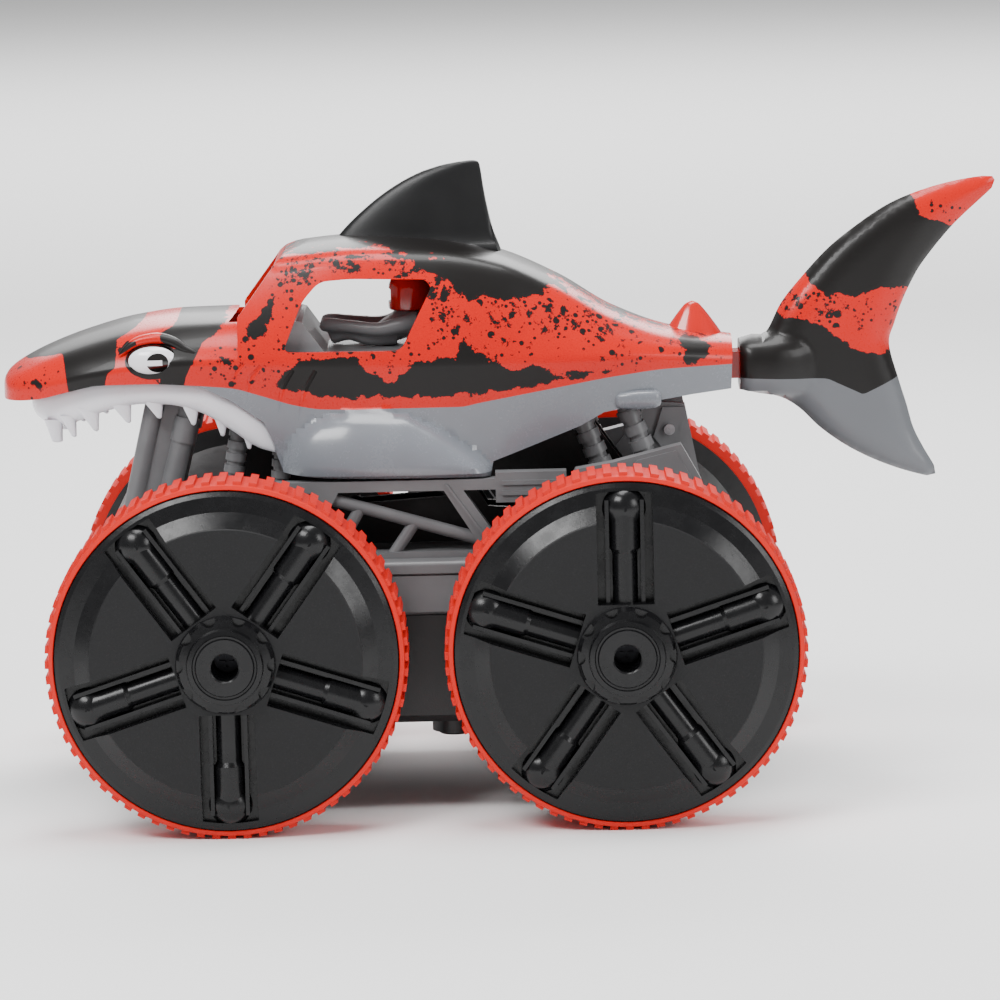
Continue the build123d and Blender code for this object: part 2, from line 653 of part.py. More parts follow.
def hull_loft(sections, inset):
    """Body hull through its cross-sections, drawn inward by the inset."""
    outlines = []
    for x, low_w, waist_w, waist_z, crease_w, crease_z, ridge_z in sections:
        with BuildSketch(station(x)) as outline:
            with BuildLine():
                low = (low_w - inset, SHELL_BASE)
                waist = (waist_w - inset, waist_z)
                crease = (crease_w - inset * 0.7, crease_z - inset * 0.9)
                mid_z = ridge_z - inset
                Line((-low[0], low[1]), low)
                Line(low, waist)
                ThreePointArc(
                    waist,
                    ((waist[0] + crease[0]) / 2 + 1.2, (waist[1] + crease[1]) / 2 + 0.6),
                    crease,
                )
                ThreePointArc(crease, (0, mid_z), (-crease[0], crease[1]))
                ThreePointArc(
                    (-crease[0], crease[1]),
                    (-(waist[0] + crease[0]) / 2 - 1.2, (waist[1] + crease[1]) / 2 + 0.6),
                    (-waist[0], waist[1]),
                )
                Line((-waist[0], waist[1]), (-low[0], low[1]))
            make_face()
        outlines.append(outline.sketch)
    loft(outlines, ruled=True)


WINDSCREEN_FOOT = (-57.0, 152.8)
WINDSCREEN_TOP = (-43.2, 171.4)

with BuildPart() as outer_cabin:
    hull_loft(CABIN, 0.0)
    slab([WINDSCREEN_FOOT, WINDSCREEN_TOP, (-38, 180), (-80, 180), (-80, 90), (-57, 90)], -50, 50, Mode.SUBTRACT)

with BuildPart() as outer_hull:
    hull_loft(HEAD, 0.0)
    add(outer_cabin.part)

with BuildPart() as inner_cabin:
    hull_loft([(c[0] + (1.0 if c[0] > 90 else 0.0), *c[1:]) for c in CABIN], SKIN)
    slab([(-54.8, 152.0), (-41.6, 169.6), (-36, 180), (-80, 180), (-80, 90), (-54.8, 90)], -50, 50, Mode.SUBTRACT)

with BuildPart() as inner_hull:
    hull_loft([(s[0] + (2.4 if s[0] < -130 else 0.0), *s[1:]) for s in HEAD], SKIN)
    add(inner_cabin.part)

SHELL_REAR = [(96.4, 120), (97.5, 142)]
SEAM = [
    (-69.4, 132.4), (-59.1, 131.4), (-50.5, 129.0), (-39.4, 125.6), (-30.7, 124.2), (-19.8, 124.4),
    (11.5, 124.0), (17.7, 125.1), (41.6, 129.0), (60.6, 131.8), (77.3, 133.2), (104.0, 133.4),
]
GUM = [(-140.0, 126.6), (-127.3, 127.2), (-120.6, 128.0), (-110.2, 130.7), (-100.3, 132.8),
       (-84.8, 133.2), (-69.4, 132.4)]
JAW_BACK = [(-59.3, 127.4), (-49.6, 120.6), (-46.2, 113.0), (-45.7, 110.4)]
BELLY = [(-43.8, 104.8), (-29.4, 103.6), (20.7, 102.8), (21.5, 106.6), (35.3, 111.7), (49.1, 116.8),
         (56.3, 120.6), (74.8, 123.5), (84.3, 124.6), (96.5, 125.6), (96.6, 123.4)]

WINDOW = [(-43.1, 142.1), (-36.9, 157.4), (-31.4, 163.4), (-21.7, 164.1), (1.6, 163.4),
          (3.4, 161.0), (-6.4, 141.8)]
GILLS = [((-55.5, 138.2), (-59.1, 130.8)), ((-49.7, 136.5), (-54.2, 128.5)),
         ((-40.0, 136.6), (-47.5, 126.7)), ((-33.5, 136.1), (-39.8, 124.7))]

EYE_AT = (-83.9, 26.9, 140.4)
EYE_SIZE = (7.7, 4.9, 5.4)  # half-length, half-height, half-depth


def eye_solid(side, grow, mode):
    """Ellipsoid lens set into the side of the head."""
    centre = place(EYE_AT[0], side * EYE_AT[1], EYE_AT[2])
    with BuildSketch(Plane(origin=centre)) as half_lens:
        Ellipse(EYE_SIZE[0] + grow, EYE_SIZE[1] + grow)
        with Locations((0, -10)):
            Rectangle(40, 20, mode=Mode.SUBTRACT)
    revolve(half_lens.sketch, axis=Axis(centre, (1, 0, 0)), mode=mode)


with BuildPart() as skin:
    add(outer_hull.part)
    add(inner_hull.part, mode=Mode.SUBTRACT)

ABOVE = [(-140, 200), (110, 200)]

with BuildPart() as upper_shell:
    slab([*GUM, *SEAM[1:], *reversed(ABOVE)], -60, 60)
    add(skin.part, mode=Mode.INTERSECT)
    # rear end is cut at a slope, above the tail neck
    slab([*SHELL_REAR, (110, 142), (110, 120)], -30, 30, Mode.SUBTRACT)
    # side windows, windscreen opening, gill grooves, eye sockets
    slab(WINDOW, -50, 50, Mode.SUBTRACT)
    slab([(-60, 149.6), (-43.6, 166.8), (-38.0, 163.4), (-48.0, 146.0)], -21, 21, Mode.SUBTRACT)
    for side in SIDES.values():
        for (x_a, z_a), (x_b, z_b) in GILLS:
            rod((x_a, side * 33.3, z_a), (x_b, side * 33.3, z_b), 1.0, Mode.SUBTRACT)
        eye_solid(side, 0.0, Mode.SUBTRACT)
save(upper_shell.part, "upper_shell")

with BuildPart() as tail_floor:
    slab([(78.0, 123.8), (96.4, 125.4), (96.6, 127.4), (78.0, 125.8)], -25, 25)
    add(outer_hull.part, mode=Mode.INTERSECT)

with BuildPart() as lower_shell:
    slab([*SEAM, (104, 120), (96.6, 120), *reversed(BELLY[:-1]), *reversed(JAW_BACK)], -60, 60)
    add(skin.part, mode=Mode.INTERSECT)
    slab([(96.4, 110), *SHELL_REAR, (110, 142), (110, 110)], -30, 30, Mode.SUBTRACT)
    for side in SIDES.values():
        # pectoral fin bulge with a flat underside
        with BuildSketch(level(103.6, -41.0)) as root_plan:
            with Locations((31.0, side * 34.5)):
                Ellipse(30.0, 9.0)
        with BuildSketch(level(112.0, -41.0)) as mid_plan:
            with Locations((29.0, side * 33.0)):
                Ellipse(26.0, 7.4)
        with BuildSketch(level(123.6, -41.0)) as top_plan:
            with Locations((20.0, side * 30.5)):
                Ellipse(10.0, 2.0)
        loft([root_plan.sketch, mid_plan.sketch, top_plan.sketch])
        # pelvic bump
        low, high = sorted((side * 21.0, side * 27.6))
        block((60.0, low, 120.8), (74.2, high, 126.8))
    add(inner_hull.part, mode=Mode.SUBTRACT)
    # cross straps over the body mount, and a floor under the tail end
    block((-40, -31.2, 122.2), (-34, 31.2, 124.0))
    block((14, -31.0, 122.2), (20, 31.0, 124.0))
    add(tail_floor.part)
save(lower_shell.part, "lower_shell")

# ---------------------------------------------------------------- jaw, eyes
JAW_LINE = [(-126, 121), (-120, 118.0), (-116.8, 118.3), (-107.9, 121.0), (-98.6, 124.2), (-87.6, 126.2),
            (-79.9, 126.0), (-69.7, 123.5), (-60.1, 117.8), (-51.1, 111.9), (-45.7, 110.4)]
TEETH = [(-112.6, 112.4), (-106.6, 114.6), (-99.6, 116.2), (-89.6, 118.8), (-79.2, 120.3),
         (-68.6, 118.2), (-60.0, 114.6)]
JAW_W = 5.0


def jaw_half_width(x):
    """Outer half-width of the jaw at a distance aft of mid-wheelbase."""
    reach = max(0.0, x + 120.5)
    return min(30.6, 30.6 * (1 - math.exp(-((reach / 11.0) ** 0.62))) + 0.02 * reach)


with BuildPart() as jaw:
    stops = [-120.2, -118.5, -114.0, -106.0, -96.0, -84.0, -66.0, -45.7]
    outer = [(x, jaw_half_width(x)) for x in stops]
    inner = [(x, jaw_half_width(x) - JAW_W) for x in stops[3:]]
    with BuildSketch(level(105.0)):
        with BuildLine():
            Polyline(
                (-120.5, 0),
                *outer,
                *reversed(inner),
                (-114.0, 8.0),
                (-113.6, 0),
            )
            mirror(about=Plane.XZ)
        make_face()
    extrude(amount=40.0)
    slab([(-140, 100), (-140, 121), *JAW_LINE, (-45.7, 100)], -40, 40, Mode.SUBTRACT)
    slab([*GUM, (-69.4, 132.0), *JAW_BACK, (-40, 110), (-40, 160), (-140, 160)], -40, 40, Mode.SUBTRACT)
    for tip_x, tip_z in TEETH:
        for side in SIDES.values():
            tooth_y = side * (jaw_half_width(tip_x) - JAW_W / 2)
            with BuildSketch(level(tip_z, tip_x, tooth_y)) as point:
                Rectangle(0.9, 0.8)
            with BuildSketch(level(tip_z + 8.0, tip_x - 2.2, tooth_y)) as base:
                Rectangle(6.6, 3.6)
            loft([point.sketch, base.sketch])
    slab([*GUM, (-69.4, 132.0), *JAW_BACK, (-40, 110), (-40, 160), (-140, 160)], -40, 40, Mode.SUBTRACT)
save(jaw.part, "jaw")

for side_name, side in SIDES.items():
    with BuildPart() as eye:
        eye_solid(side, 0.0, Mode.ADD)
        add(inner_hull.part, mode=Mode.SUBTRACT)
    save(eye.part, f"eye_{side_name}")

# ---------------------------------------------------------------- cockpit
with BuildPart() as cockpit_tub:
    block((-57, -29.6, 138.6), (20, 29.6, 140.4))
    slab([(-55.5, 140.4), (-55.5, 147.0), (-47.0, 149.2), (-38.6, 151.0), (-37.2, 150.6), (-30.0, 140.4)], -24, 24)
    slab([(-53.0, 140.4), (-53.0, 145.0), (-46.0, 147.2), (-40.0, 148.0), (-34.5, 140.4)], -22, 22, Mode.SUBTRACT)
    # seat back and head rest
    slab([(2.0, 140.4), (6.5, 150.0), (9.0, 158.0), (12.0, 158.0), (12.0, 140.4)], -11, 11)
save(cockpit_tub.part, "cockpit_tub")

with BuildPart() as driver:
    # reclined torso, then arms reaching forward to a grip bar
    slab([(1.8, 140.6), (6.0, 149.8), (1.5, 150.6), (-9.0, 150.6), (-12, 146.0), (-18, 142.0), (-29, 140.6)],
         -8.0, 8.0)
    for side in SIDES.values():
        low, high = sorted((side * 6.0, side * 11.0))
        slab([(-2, 151.0), (-4, 146.2), (-18, 142.8), (-32, 144.6), (-33.6, 149.0), (-18, 148.0)], low, high)
    block((-32.6, -6.0, 145.4), (-30.4, 6.0, 147.6))
save(driver.part, "driver")

HELMET_X, HELMET_Z, HELMET_R = -3.6, 151.4, 7.0
with BuildPart() as helmet:
    with BuildSketch(Plane(origin=place(HELMET_X, 0, HELMET_Z), x_dir=(1, 0, 0), z_dir=(0, -1, 0))):
        with BuildLine():
            Line((0, 0), (HELMET_R - 0.4, 0))
            Line((HELMET_R - 0.4, 0), (HELMET_R, 0.6))
            Line((HELMET_R, 0.6), (HELMET_R, 6.0))
            ThreePointArc((HELMET_R, 6.0), (HELMET_R * 0.72, 10.9), (0, 13.0))
            Line((0, 13.0), (0, 0))
        make_face()
    revolve(axis=Axis(place(HELMET_X, 0, 0), (0, 0, 1)))
    block((HELMET_X - 9, -4.4, HELMET_Z + 2.6), (HELMET_X - 5.4, 4.4, HELMET_Z + 7.0), Mode.SUBTRACT)
save(helmet.part, "helmet")

# ---------------------------------------------------------------- fins on the back
DORSAL = [
    # height, leading x, trailing x, half-thickness
    (164.0, -31.0, 25.0, 7.0),
    (176.0, -24.5, 22.4, 5.2),
    (184.0, -16.4, 21.0, 4.0),
    (191.0, -7.0, 20.1, 2.9),
    (196.0, 4.4, 19.6, 1.9),
    (198.0, 12.0, 18.6, 0.9),
]

with BuildPart() as dorsal_fin:
    sections = []
    for height, lead_x, trail_x, half in DORSAL:
        chord = trail_x - lead_x
        with BuildSketch(level(height)) as section:
            with BuildLine():
                Spline((trail_x, half * 0.35), (lead_x + 0.55 * chord, half), (lead_x, 0), tangents=[(-1, 0.25), (0, -1)])
                Spline((lead_x, 0), (lead_x + 0.55 * chord, -half), (trail_x, -half * 0.35), tangents=[(0, -1), (1, 0.25)])
                Line((trail_x, -half * 0.35), (trail_x, half * 0.35))
            make_face()
        sections.append(section.sketch)
    loft(sections)
    add(outer_hull.part, mode=Mode.SUBTRACT)
save(dorsal_fin.part, "dorsal_fin")

with BuildPart() as rear_cone:
    with BuildSketch(level(139.0)) as foot:
        with Locations((85.2, 0)):
            Ellipse(10.2, 6.2)
    with BuildSketch(level(147.0)) as middle:
        with Locations((84.6, 0)):
            Ellipse(5.4, 3.6)
    with BuildSketch(level(151.2)) as top:
        with Locations((84.8, 0)):
            Ellipse(2.0, 1.3)
    loft([foot.sketch, middle.sketch, top.sketch])
    add(outer_hull.part, mode=Mode.SUBTRACT)
save(rear_cone.part, "rear_cone")

# ---------------------------------------------------------------- tail
PIVOT_X, PIN_D = TAIL_PIVOT
TAIL_FRONT = 99.9
TONGUE_Z = (127.6, 136.0)
TAIL_TIP_X = LENGTH / 2 - MID

with BuildPart() as tail_neck:
    # block inside the body's rear end, with a tongue for the tail pin
    block((82, -20, 115), (93, 20, 145))
    add(inner_hull.part, mode=Mode.INTERSECT)
    block((70, -30, 110), (110, 30, 127.6), Mode.SUBTRACT)
    with BuildSketch(level(TONGUE_Z[0])):
        with Locations(((92 + PIVOT_X) / 2, 0)):
            Rectangle(PIVOT_X - 92, 10.0)
        with Locations((PIVOT_X, 0)):
            Circle(5.0)
            Circle(PIN_D / 2 + RUN, mode=Mode.SUBTRACT)
    extrude(amount=TONGUE_Z[1] - TONGUE_Z[0])
save(tail_neck.part, "tail_neck")

with BuildPart() as tail:
    with BuildSketch(side_plane()):
        with BuildLine():
            Line((TAIL_FRONT, 123.4), (TAIL_FRONT, 139.9))
            Line((TAIL_FRONT, 139.9), (108.6, 141.7))
            Spline((108.6, 141.7), (119.6, 158.3), (138.7, 175.6), (157.8, 185.3), (177.5, 189.4))
            Polyline((177.5, 189.4), (180.6, 189.2), (TAIL_TIP_X, 188.0), (180.4, 185.4))
            Spline((180.4, 185.4), (168.1, 174.3), (158.7, 163.1), (151.6, 150.0), (147.5, 136.7))
            Spline((147.5, 136.7), (150.5, 125.2), (154.9, 110.0), (161.4, 97.4))
            Polyline((161.4, 97.4), (161.8, 95.0), (159.1, 94.2))
            Spline((159.1, 94.2), (140.1, 101.1), (125.0, 111.0), (115.5, 119.6), (106.1, 121.8))
            Line((106.1, 121.8), (TAIL_FRONT, 123.4))
        make_face()
    extrude(amount=12.0, both=True)
    with BuildSketch(level(90.0)):
        with BuildLine():
            Polyline(
                (TAIL_FRONT, 0),
                (TAIL_FRONT, 8.4),
                (TAIL_FRONT + 3.4, 11.9),
                (112.0, 11.9),
                (124.0, 8.6),
                (150.0, 5.0),
                (TAIL_TIP_X, 1.6),
                (TAIL_TIP_X, 0),
            )
            mirror(about=Plane.XZ)
        make_face()
    extrude(amount=110.0, mode=Mode.INTERSECT)
    # pocket for the neck's tongue, wide enough for the swing
    block((TAIL_FRONT - 1, -7.6, TONGUE_Z[0] - 0.5), (PIVOT_X + 6, 7.6, TONGUE_Z[1] + 0.5), Mode.SUBTRACT)
    with BuildSketch(level(124.0, PIVOT_X)):
        Circle(PIN_D / 2)
    extrude(amount=14.6, mode=Mode.SUBTRACT)

TAIL_SCREWS = [(113.0, 131.0, 9.0), (135.0, 155.0, 4.6), (143.0, 114.0, 3.8)]
with BuildPart() as tail_left:
    add(tail.part)
    block((90, 0, 80), (200, 30, 200), Mode.SUBTRACT)
save(tail_left.part, "tail_left")

with BuildPart() as tail_right:
    add(tail.part)
    block((90, -30, 80), (200, 0, 200), Mode.SUBTRACT)
    for screw_x, screw_z, _ in TAIL_SCREWS:
        rod((screw_x, 0, screw_z), (screw_x, 20, screw_z), 2.0, Mode.SUBTRACT)
save(tail_right.part, "tail_right")

with BuildPart() as tail_screws:
    for screw_x, screw_z, head_y in TAIL_SCREWS:
        rod((screw_x, 0.2, screw_z), (screw_x, head_y, screw_z), 2.0)
        block((screw_x - 1.4, head_y - 0.6, screw_z - 0.3), (screw_x + 1.4, head_y + 1, screw_z + 0.3), Mode.SUBTRACT)
        block((screw_x - 0.3, head_y - 0.6, screw_z - 1.4), (screw_x + 0.3, head_y + 1, screw_z + 1.4), Mode.SUBTRACT)
save(tail_screws.part, "tail_screws")

with BuildPart() as tail_pin:
    with BuildSketch(level(124.0, PIVOT_X)):
        Circle(PIN_D / 2)
    extrude(amount=14.6)
save(tail_pin.part, "tail_pin")
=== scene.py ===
import bmesh
import bpy
import math
import numpy as np
from mathutils import Matrix, Vector
from mathutils.geometry import delaunay_2d_cdt


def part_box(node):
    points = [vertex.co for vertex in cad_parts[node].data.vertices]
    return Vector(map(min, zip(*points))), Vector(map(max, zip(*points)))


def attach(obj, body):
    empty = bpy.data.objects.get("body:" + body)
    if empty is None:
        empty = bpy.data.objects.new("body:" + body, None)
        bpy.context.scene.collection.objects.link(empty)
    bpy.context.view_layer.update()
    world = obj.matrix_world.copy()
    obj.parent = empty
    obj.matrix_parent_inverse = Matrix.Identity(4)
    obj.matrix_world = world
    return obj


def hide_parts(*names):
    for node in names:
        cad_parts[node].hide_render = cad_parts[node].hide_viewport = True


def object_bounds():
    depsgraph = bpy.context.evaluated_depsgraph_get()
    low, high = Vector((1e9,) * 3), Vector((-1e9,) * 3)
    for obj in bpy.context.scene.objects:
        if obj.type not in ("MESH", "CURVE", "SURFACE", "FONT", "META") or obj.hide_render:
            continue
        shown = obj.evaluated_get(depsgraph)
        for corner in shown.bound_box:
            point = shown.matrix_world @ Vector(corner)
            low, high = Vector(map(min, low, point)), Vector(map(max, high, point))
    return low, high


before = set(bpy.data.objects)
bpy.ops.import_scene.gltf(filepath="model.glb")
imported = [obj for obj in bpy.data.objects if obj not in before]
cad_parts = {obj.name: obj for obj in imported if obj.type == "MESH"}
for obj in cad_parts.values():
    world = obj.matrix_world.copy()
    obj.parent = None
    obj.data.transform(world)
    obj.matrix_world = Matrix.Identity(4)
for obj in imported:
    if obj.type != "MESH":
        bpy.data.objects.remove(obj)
cad_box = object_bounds()

# ------------ places, from the frame
# Tables below are in millimetres aft of mid-wheelbase, out to the side, and up.
MM = 0.001
AXLE_FRONT = (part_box("front_left_tyre")[0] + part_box("front_left_tyre")[1]) / 2
AXLE_REAR = (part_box("rear_left_tyre")[0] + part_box("rear_left_tyre")[1]) / 2
MID_X = (AXLE_FRONT.x + AXLE_REAR.x) / 2
FLOOR_Z = cad_box[0][2]
TAIL_X = (cad_box[1][0] - MID_X) / MM
SIDES = {"left": -1, "right": 1}


def at(x, y, z):
    """Millimetres aft of mid-wheelbase, right and up, as metres in the frame."""
    return Vector((MID_X + x * MM, y * MM, z * MM))


# ------------ camera and lights
CAMERA_AT = (23.27, -1558.93, 326.76)
CAMERA_ELEVATION = 8.65
CAMERA_ROLL = 1.3
LENS_MM = 178.56


def make_camera():
    data = bpy.data.cameras.new("camera")
    data.lens = LENS_MM
    data.sensor_width = 36.0
    data.clip_end = 20.0
    camera = bpy.data.objects.new("camera", data)
    bpy.context.scene.collection.objects.link(camera)
    tilt = Matrix.Rotation(math.radians(90 - CAMERA_ELEVATION), 4, "X")
    roll = Matrix.Rotation(math.radians(-CAMERA_ROLL), 4, "Z")
    camera.matrix_world = Matrix.Translation(at(*CAMERA_AT)) @ tilt @ roll
    bpy.context.scene.camera = camera


def area_light(name, location, target, size, power):
    data = bpy.data.lights.new(name, "AREA")
    data.shape = "RECTANGLE"
    data.size, data.size_y = size
    data.energy = power
    lamp = bpy.data.objects.new(name, data)
    bpy.context.scene.collection.objects.link(lamp)
    lamp.location = location
    aim = Vector(target) - Vector(location)
    lamp.rotation_euler = aim.to_track_quat("-Z", "Y").to_euler()


def make_studio():
    world = bpy.data.worlds.new("studio")
    world.use_nodes = True
    sky = world.node_tree.nodes["Background"].inputs
    sky["Color"].default_value = (1.0, 1.0, 1.0, 1)
    sky["Strength"].default_value = 0.42
    bpy.context.scene.world = world
    area_light("key", (-0.55, -0.70, 0.95), (-0.02, 0, 0.1), (0.6, 0.4), 13)
    area_light("top", (0.05, -0.05, 1.1), (0, 0, 0.1), (0.8, 0.4), 12)
    area_light("side", (0.9, -0.65, 0.5), (0, 0, 0.1), (0.4, 0.5), 5)
    area_light("back", (0.1, 0.9, 0.7), (0, 0, 0.12), (0.8, 0.5), 5)
    area_light("backdrop", (0.1, 2.6, 1.6), (0.1, 2.3, 0), (3.0, 2.0), 90)
    bpy.ops.mesh.primitive_grid_add(x_subdivisions=4, y_subdivisions=4, size=13.0, location=(0, 0, FLOOR_Z))
    floor = bpy.context.object
    floor.name = "floor"
    graph = Graph("floor_paper", (0.95, 0.95, 0.95), 0.9)
    floor.data.materials.append(graph.material)


# ------------ node graphs
class Graph:
    """A Principled material with short ways to add nodes."""

    def __init__(self, name, colour, roughness, coat=0.0, metallic=0.0, specular=0.5):
        self.material = bpy.data.materials.new(name)
        self.material.use_nodes = True
        self.tree = self.material.node_tree
        self.shader = self.tree.nodes["Principled BSDF"]
        self.shader.inputs["Base Color"].default_value = (*colour, 1)
        self.shader.inputs["Roughness"].default_value = roughness
        self.shader.inputs["Metallic"].default_value = metallic
        self.shader.inputs["Specular IOR Level"].default_value = specular
        self.shader.inputs["Coat Weight"].default_value = coat
        self.shader.inputs["Coat Roughness"].default_value = 0.08
        self.place = self.tree.nodes.new("ShaderNodeTexCoord").outputs["Object"]

    def set(self, socket, value):
        if isinstance(value, bpy.types.NodeSocket):
            self.tree.links.new(value, socket)
        elif isinstance(value, tuple):
            socket.default_value = (*value, 1)
        else:
            socket.default_value = value

    def math(self, operation, a, b=0.0):
        node = self.tree.nodes.new("ShaderNodeMath")
        node.operation = operation
        self.set(node.inputs[0], a)
        self.set(node.inputs[1], b)
        return node.outputs[0]

    def times(self, a, b):
        return self.math("MULTIPLY", a, b)

    def plus(self, a, b):
        return self.math("ADD", a, b)

    def minus(self, a, b):
        return self.math("SUBTRACT", a, b)

    def above(self, a, b):
        return self.math("GREATER_THAN", a, b)

    def below(self, a, b):
        return self.math("LESS_THAN", a, b)

    def larger(self, a, b):
        return self.math("MAXIMUM", a, b)

    def ramp(self, value, low, high, out_low=0.0, out_high=1.0):
        node = self.tree.nodes.new("ShaderNodeMapRange")
        for name, number in (("Value", value), ("From Min", low), ("From Max", high),
                             ("To Min", out_low), ("To Max", out_high)):
            self.set(node.inputs[name], number)
        return node.outputs["Result"]

    def noise(self, size, detail=3.0, roughness=0.5):
        """Noise whose features are about this many millimetres across."""
        node = self.tree.nodes.new("ShaderNodeTexNoise")
        self.set(node.inputs["Vector"], self.place)
        self.set(node.inputs["Scale"], 1 / (size * MM))
        self.set(node.inputs["Detail"], detail)
        self.set(node.inputs["Roughness"], roughness)
        return node.outputs["Fac"]

    def cells(self, size):
        """Distance to the nearest cell point and that cell's two random numbers."""
        node = self.tree.nodes.new("ShaderNodeTexVoronoi")
        self.set(node.inputs["Vector"], self.place)
        self.set(node.inputs["Scale"], 1 / (size * MM))
        split = self.tree.nodes.new("ShaderNodeSeparateColor")
        self.tree.links.new(node.outputs["Color"], split.inputs[0])
        return node.outputs["Distance"], split.outputs[0], split.outputs[1]

    def axes(self):
        """Object coordinates in millimetres aft of mid-wheelbase, right and up."""
        node = self.tree.nodes.new("ShaderNodeSeparateXYZ")
        self.tree.links.new(self.place, node.inputs[0])
        x, y, z = node.outputs
        return (
            self.math("DIVIDE", self.math("SUBTRACT", x, MID_X), MM),
            self.math("DIVIDE", y, MM),
            self.math("DIVIDE", z, MM),
        )

    def attribute(self, name):
        node = self.tree.nodes.new("ShaderNodeAttribute")
        node.attribute_name = name
        return node.outputs["Fac"]

    def mix(self, share, a, b):
        node = self.tree.nodes.new("ShaderNodeMix")
        node.data_type = "RGBA"
        self.set(node.inputs[0], share)
        self.set(node.inputs[6], a)
        self.set(node.inputs[7], b)
        return node.outputs[2]

    def colour(self, value):
        self.set(self.shader.inputs["Base Color"], value)

    def roughness(self, value):
        self.set(self.shader.inputs["Roughness"], value)

    def bump(self, height, depth, strength=1.0):
        """Relief this many millimetres deep."""
        node = self.tree.nodes.new("ShaderNodeBump")
        self.set(node.inputs["Height"], height)
        self.set(node.inputs["Distance"], depth * MM)
        self.set(node.inputs["Strength"], strength)
        self.tree.links.new(node.outputs["Normal"], self.shader.inputs["Normal"])


# ------------ materials
RED = (0.58, 0.0060, 0.0020)
INK = (0.0055, 0.0045, 0.0042)
BLACK = (0.0055, 0.0055, 0.006)
SOFT_BLACK = (0.0065, 0.0065, 0.007)
GREY = (0.170, 0.183, 0.205)
FRAME_GREY = (0.135, 0.135, 0.140)


def shade(colour, factor):
    return tuple(min(1.0, c * factor) for c in colour)


def moulded(name, colour, roughness, grain=0.6, depth=0.03, mottle=0.12, coat=0.0, specular=0.5):
    """Moulded plastic: fine grain, slow changes of shade and of gloss."""
    graph = Graph(name, colour, roughness, coat, 0.0, specular)
    cloud = graph.noise(14.0, 4.0)
    fine = graph.noise(grain, 4.0, 0.65)
    tint = graph.ramp(cloud, 0.3, 0.7)
    graph.colour(graph.mix(tint, shade(colour, 1 - mottle), shade(colour, 1 + mottle)))
    wear = graph.plus(graph.times(cloud, 0.14), graph.times(fine, 0.12))
    graph.roughness(graph.plus(wear, roughness - 0.13))
    graph.bump(fine, depth)
    return graph.material


def tyre_rubber():
    graph = Graph("tyre_rubber", (0.56, 0.010, 0.0045), 0.55, specular=0.25)
    cloud = graph.noise(9.0, 5.0, 0.6)
    fine = graph.noise(0.35, 5.0, 0.7)
    dust = graph.times(graph.ramp(cloud, 0.45, 0.75), 0.22)
    graph.colour(graph.mix(dust, (0.60, 0.010, 0.0045), (0.46, 0.020, 0.012)))
    graph.roughness(graph.ramp(fine, 0.3, 0.7, 0.44, 0.68))
    graph.bump(fine, 0.05)
    return graph.material


PANEL_DEPTH = 6.0                     # from the outermost face of a wheel disc to its flat panels


def wheel_plastic():
    """Textured matte on the flat panels, polished everywhere else."""
    graph = Graph("wheel_plastic", BLACK, 0.3, specular=0.30)
    panel_y = abs(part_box("front_left_wheel_disc")[0].y) / MM - PANEL_DEPTH
    out = graph.math("ABSOLUTE", graph.axes()[1])
    matte = graph.below(graph.math("ABSOLUTE", graph.minus(out, panel_y)), 0.25)
    spark = graph.noise(0.28, 2.0, 0.8)
    grain = graph.noise(0.75, 5.0, 0.7)
    scuff = graph.noise(7.0, 6.0, 0.7)
    glint = graph.times(graph.times(graph.ramp(spark, 0.60, 0.76), 0.55), matte)
    graph.colour(graph.mix(glint, (0.0050, 0.0050, 0.0056), (0.040, 0.040, 0.043)))
    polished = graph.ramp(scuff, 0.3, 0.7, 0.17, 0.34)
    flat = graph.ramp(grain, 0.3, 0.7, 0.40, 0.62)
    shiny = graph.minus(1.0, matte)
    graph.roughness(graph.plus(graph.times(flat, matte), graph.times(polished, shiny)))
    graph.bump(graph.times(grain, graph.ramp(matte, 0.0, 1.0, 0.35, 1.0)), 0.07)
    return graph.material


def splatter(graph, size, density):
    """Round drops of about half the cell size, in a share of the cells."""
    distance, pick, swell = graph.cells(size)
    radius = graph.ramp(swell, 0.0, 1.0, 0.16, 0.42)
    inside = graph.below(distance, radius)
    return graph.times(inside, graph.below(pick, density))


def body_paint(name, with_grey=False):
    """Gloss red with printed black: edges torn by noise, and drops sprayed beyond them."""
    graph = Graph(name, RED, 0.26, coat=0.10, specular=0.28)
    ink = graph.attribute("ink")
    spray = graph.attribute("spray")
    ragged = graph.times(graph.minus(graph.noise(5.5, 6.0, 0.68), 0.5), 8.5)
    edge = graph.above(graph.plus(ink, graph.times(ragged, graph.attribute("torn"))), 0.0)
    drops = graph.larger(splatter(graph, 3.1, spray), splatter(graph, 1.5, spray))
    clusters = graph.above(graph.noise(7.0, 3.0), 0.44)
    # where the spray is dense it runs together into blots
    blots = graph.minus(graph.noise(3.4, 6.0, 0.7), graph.ramp(spray, 0.1, 1.0, 0.68, 0.49))
    blots = graph.above(blots, 0.0)
    drops = graph.larger(graph.times(drops, clusters), blots)
    dark = graph.larger(edge, graph.times(drops, graph.above(spray, 0.08)))
    cloud = graph.noise(18.0, 3.0)
    red = graph.mix(cloud, shade(RED, 0.92), shade(RED, 1.10))
    black = graph.mix(cloud, shade(INK, 0.8), shade(INK, 1.3))
    painted = graph.mix(dark, red, black)
    if with_grey:
        lower = graph.above(graph.attribute("grey"), 0.0)
        slate = graph.mix(cloud, (0.125, 0.131, 0.142), (0.142, 0.149, 0.161))
        painted = graph.mix(lower, painted, slate)
    graph.colour(painted)
    fine = graph.noise(0.8, 4.0, 0.6)
    rough = graph.ramp(dark, 0.0, 1.0, 0.24, 0.34)
    graph.roughness(graph.plus(rough, graph.times(fine, 0.08)))
    graph.bump(fine, 0.02)
    return graph.material


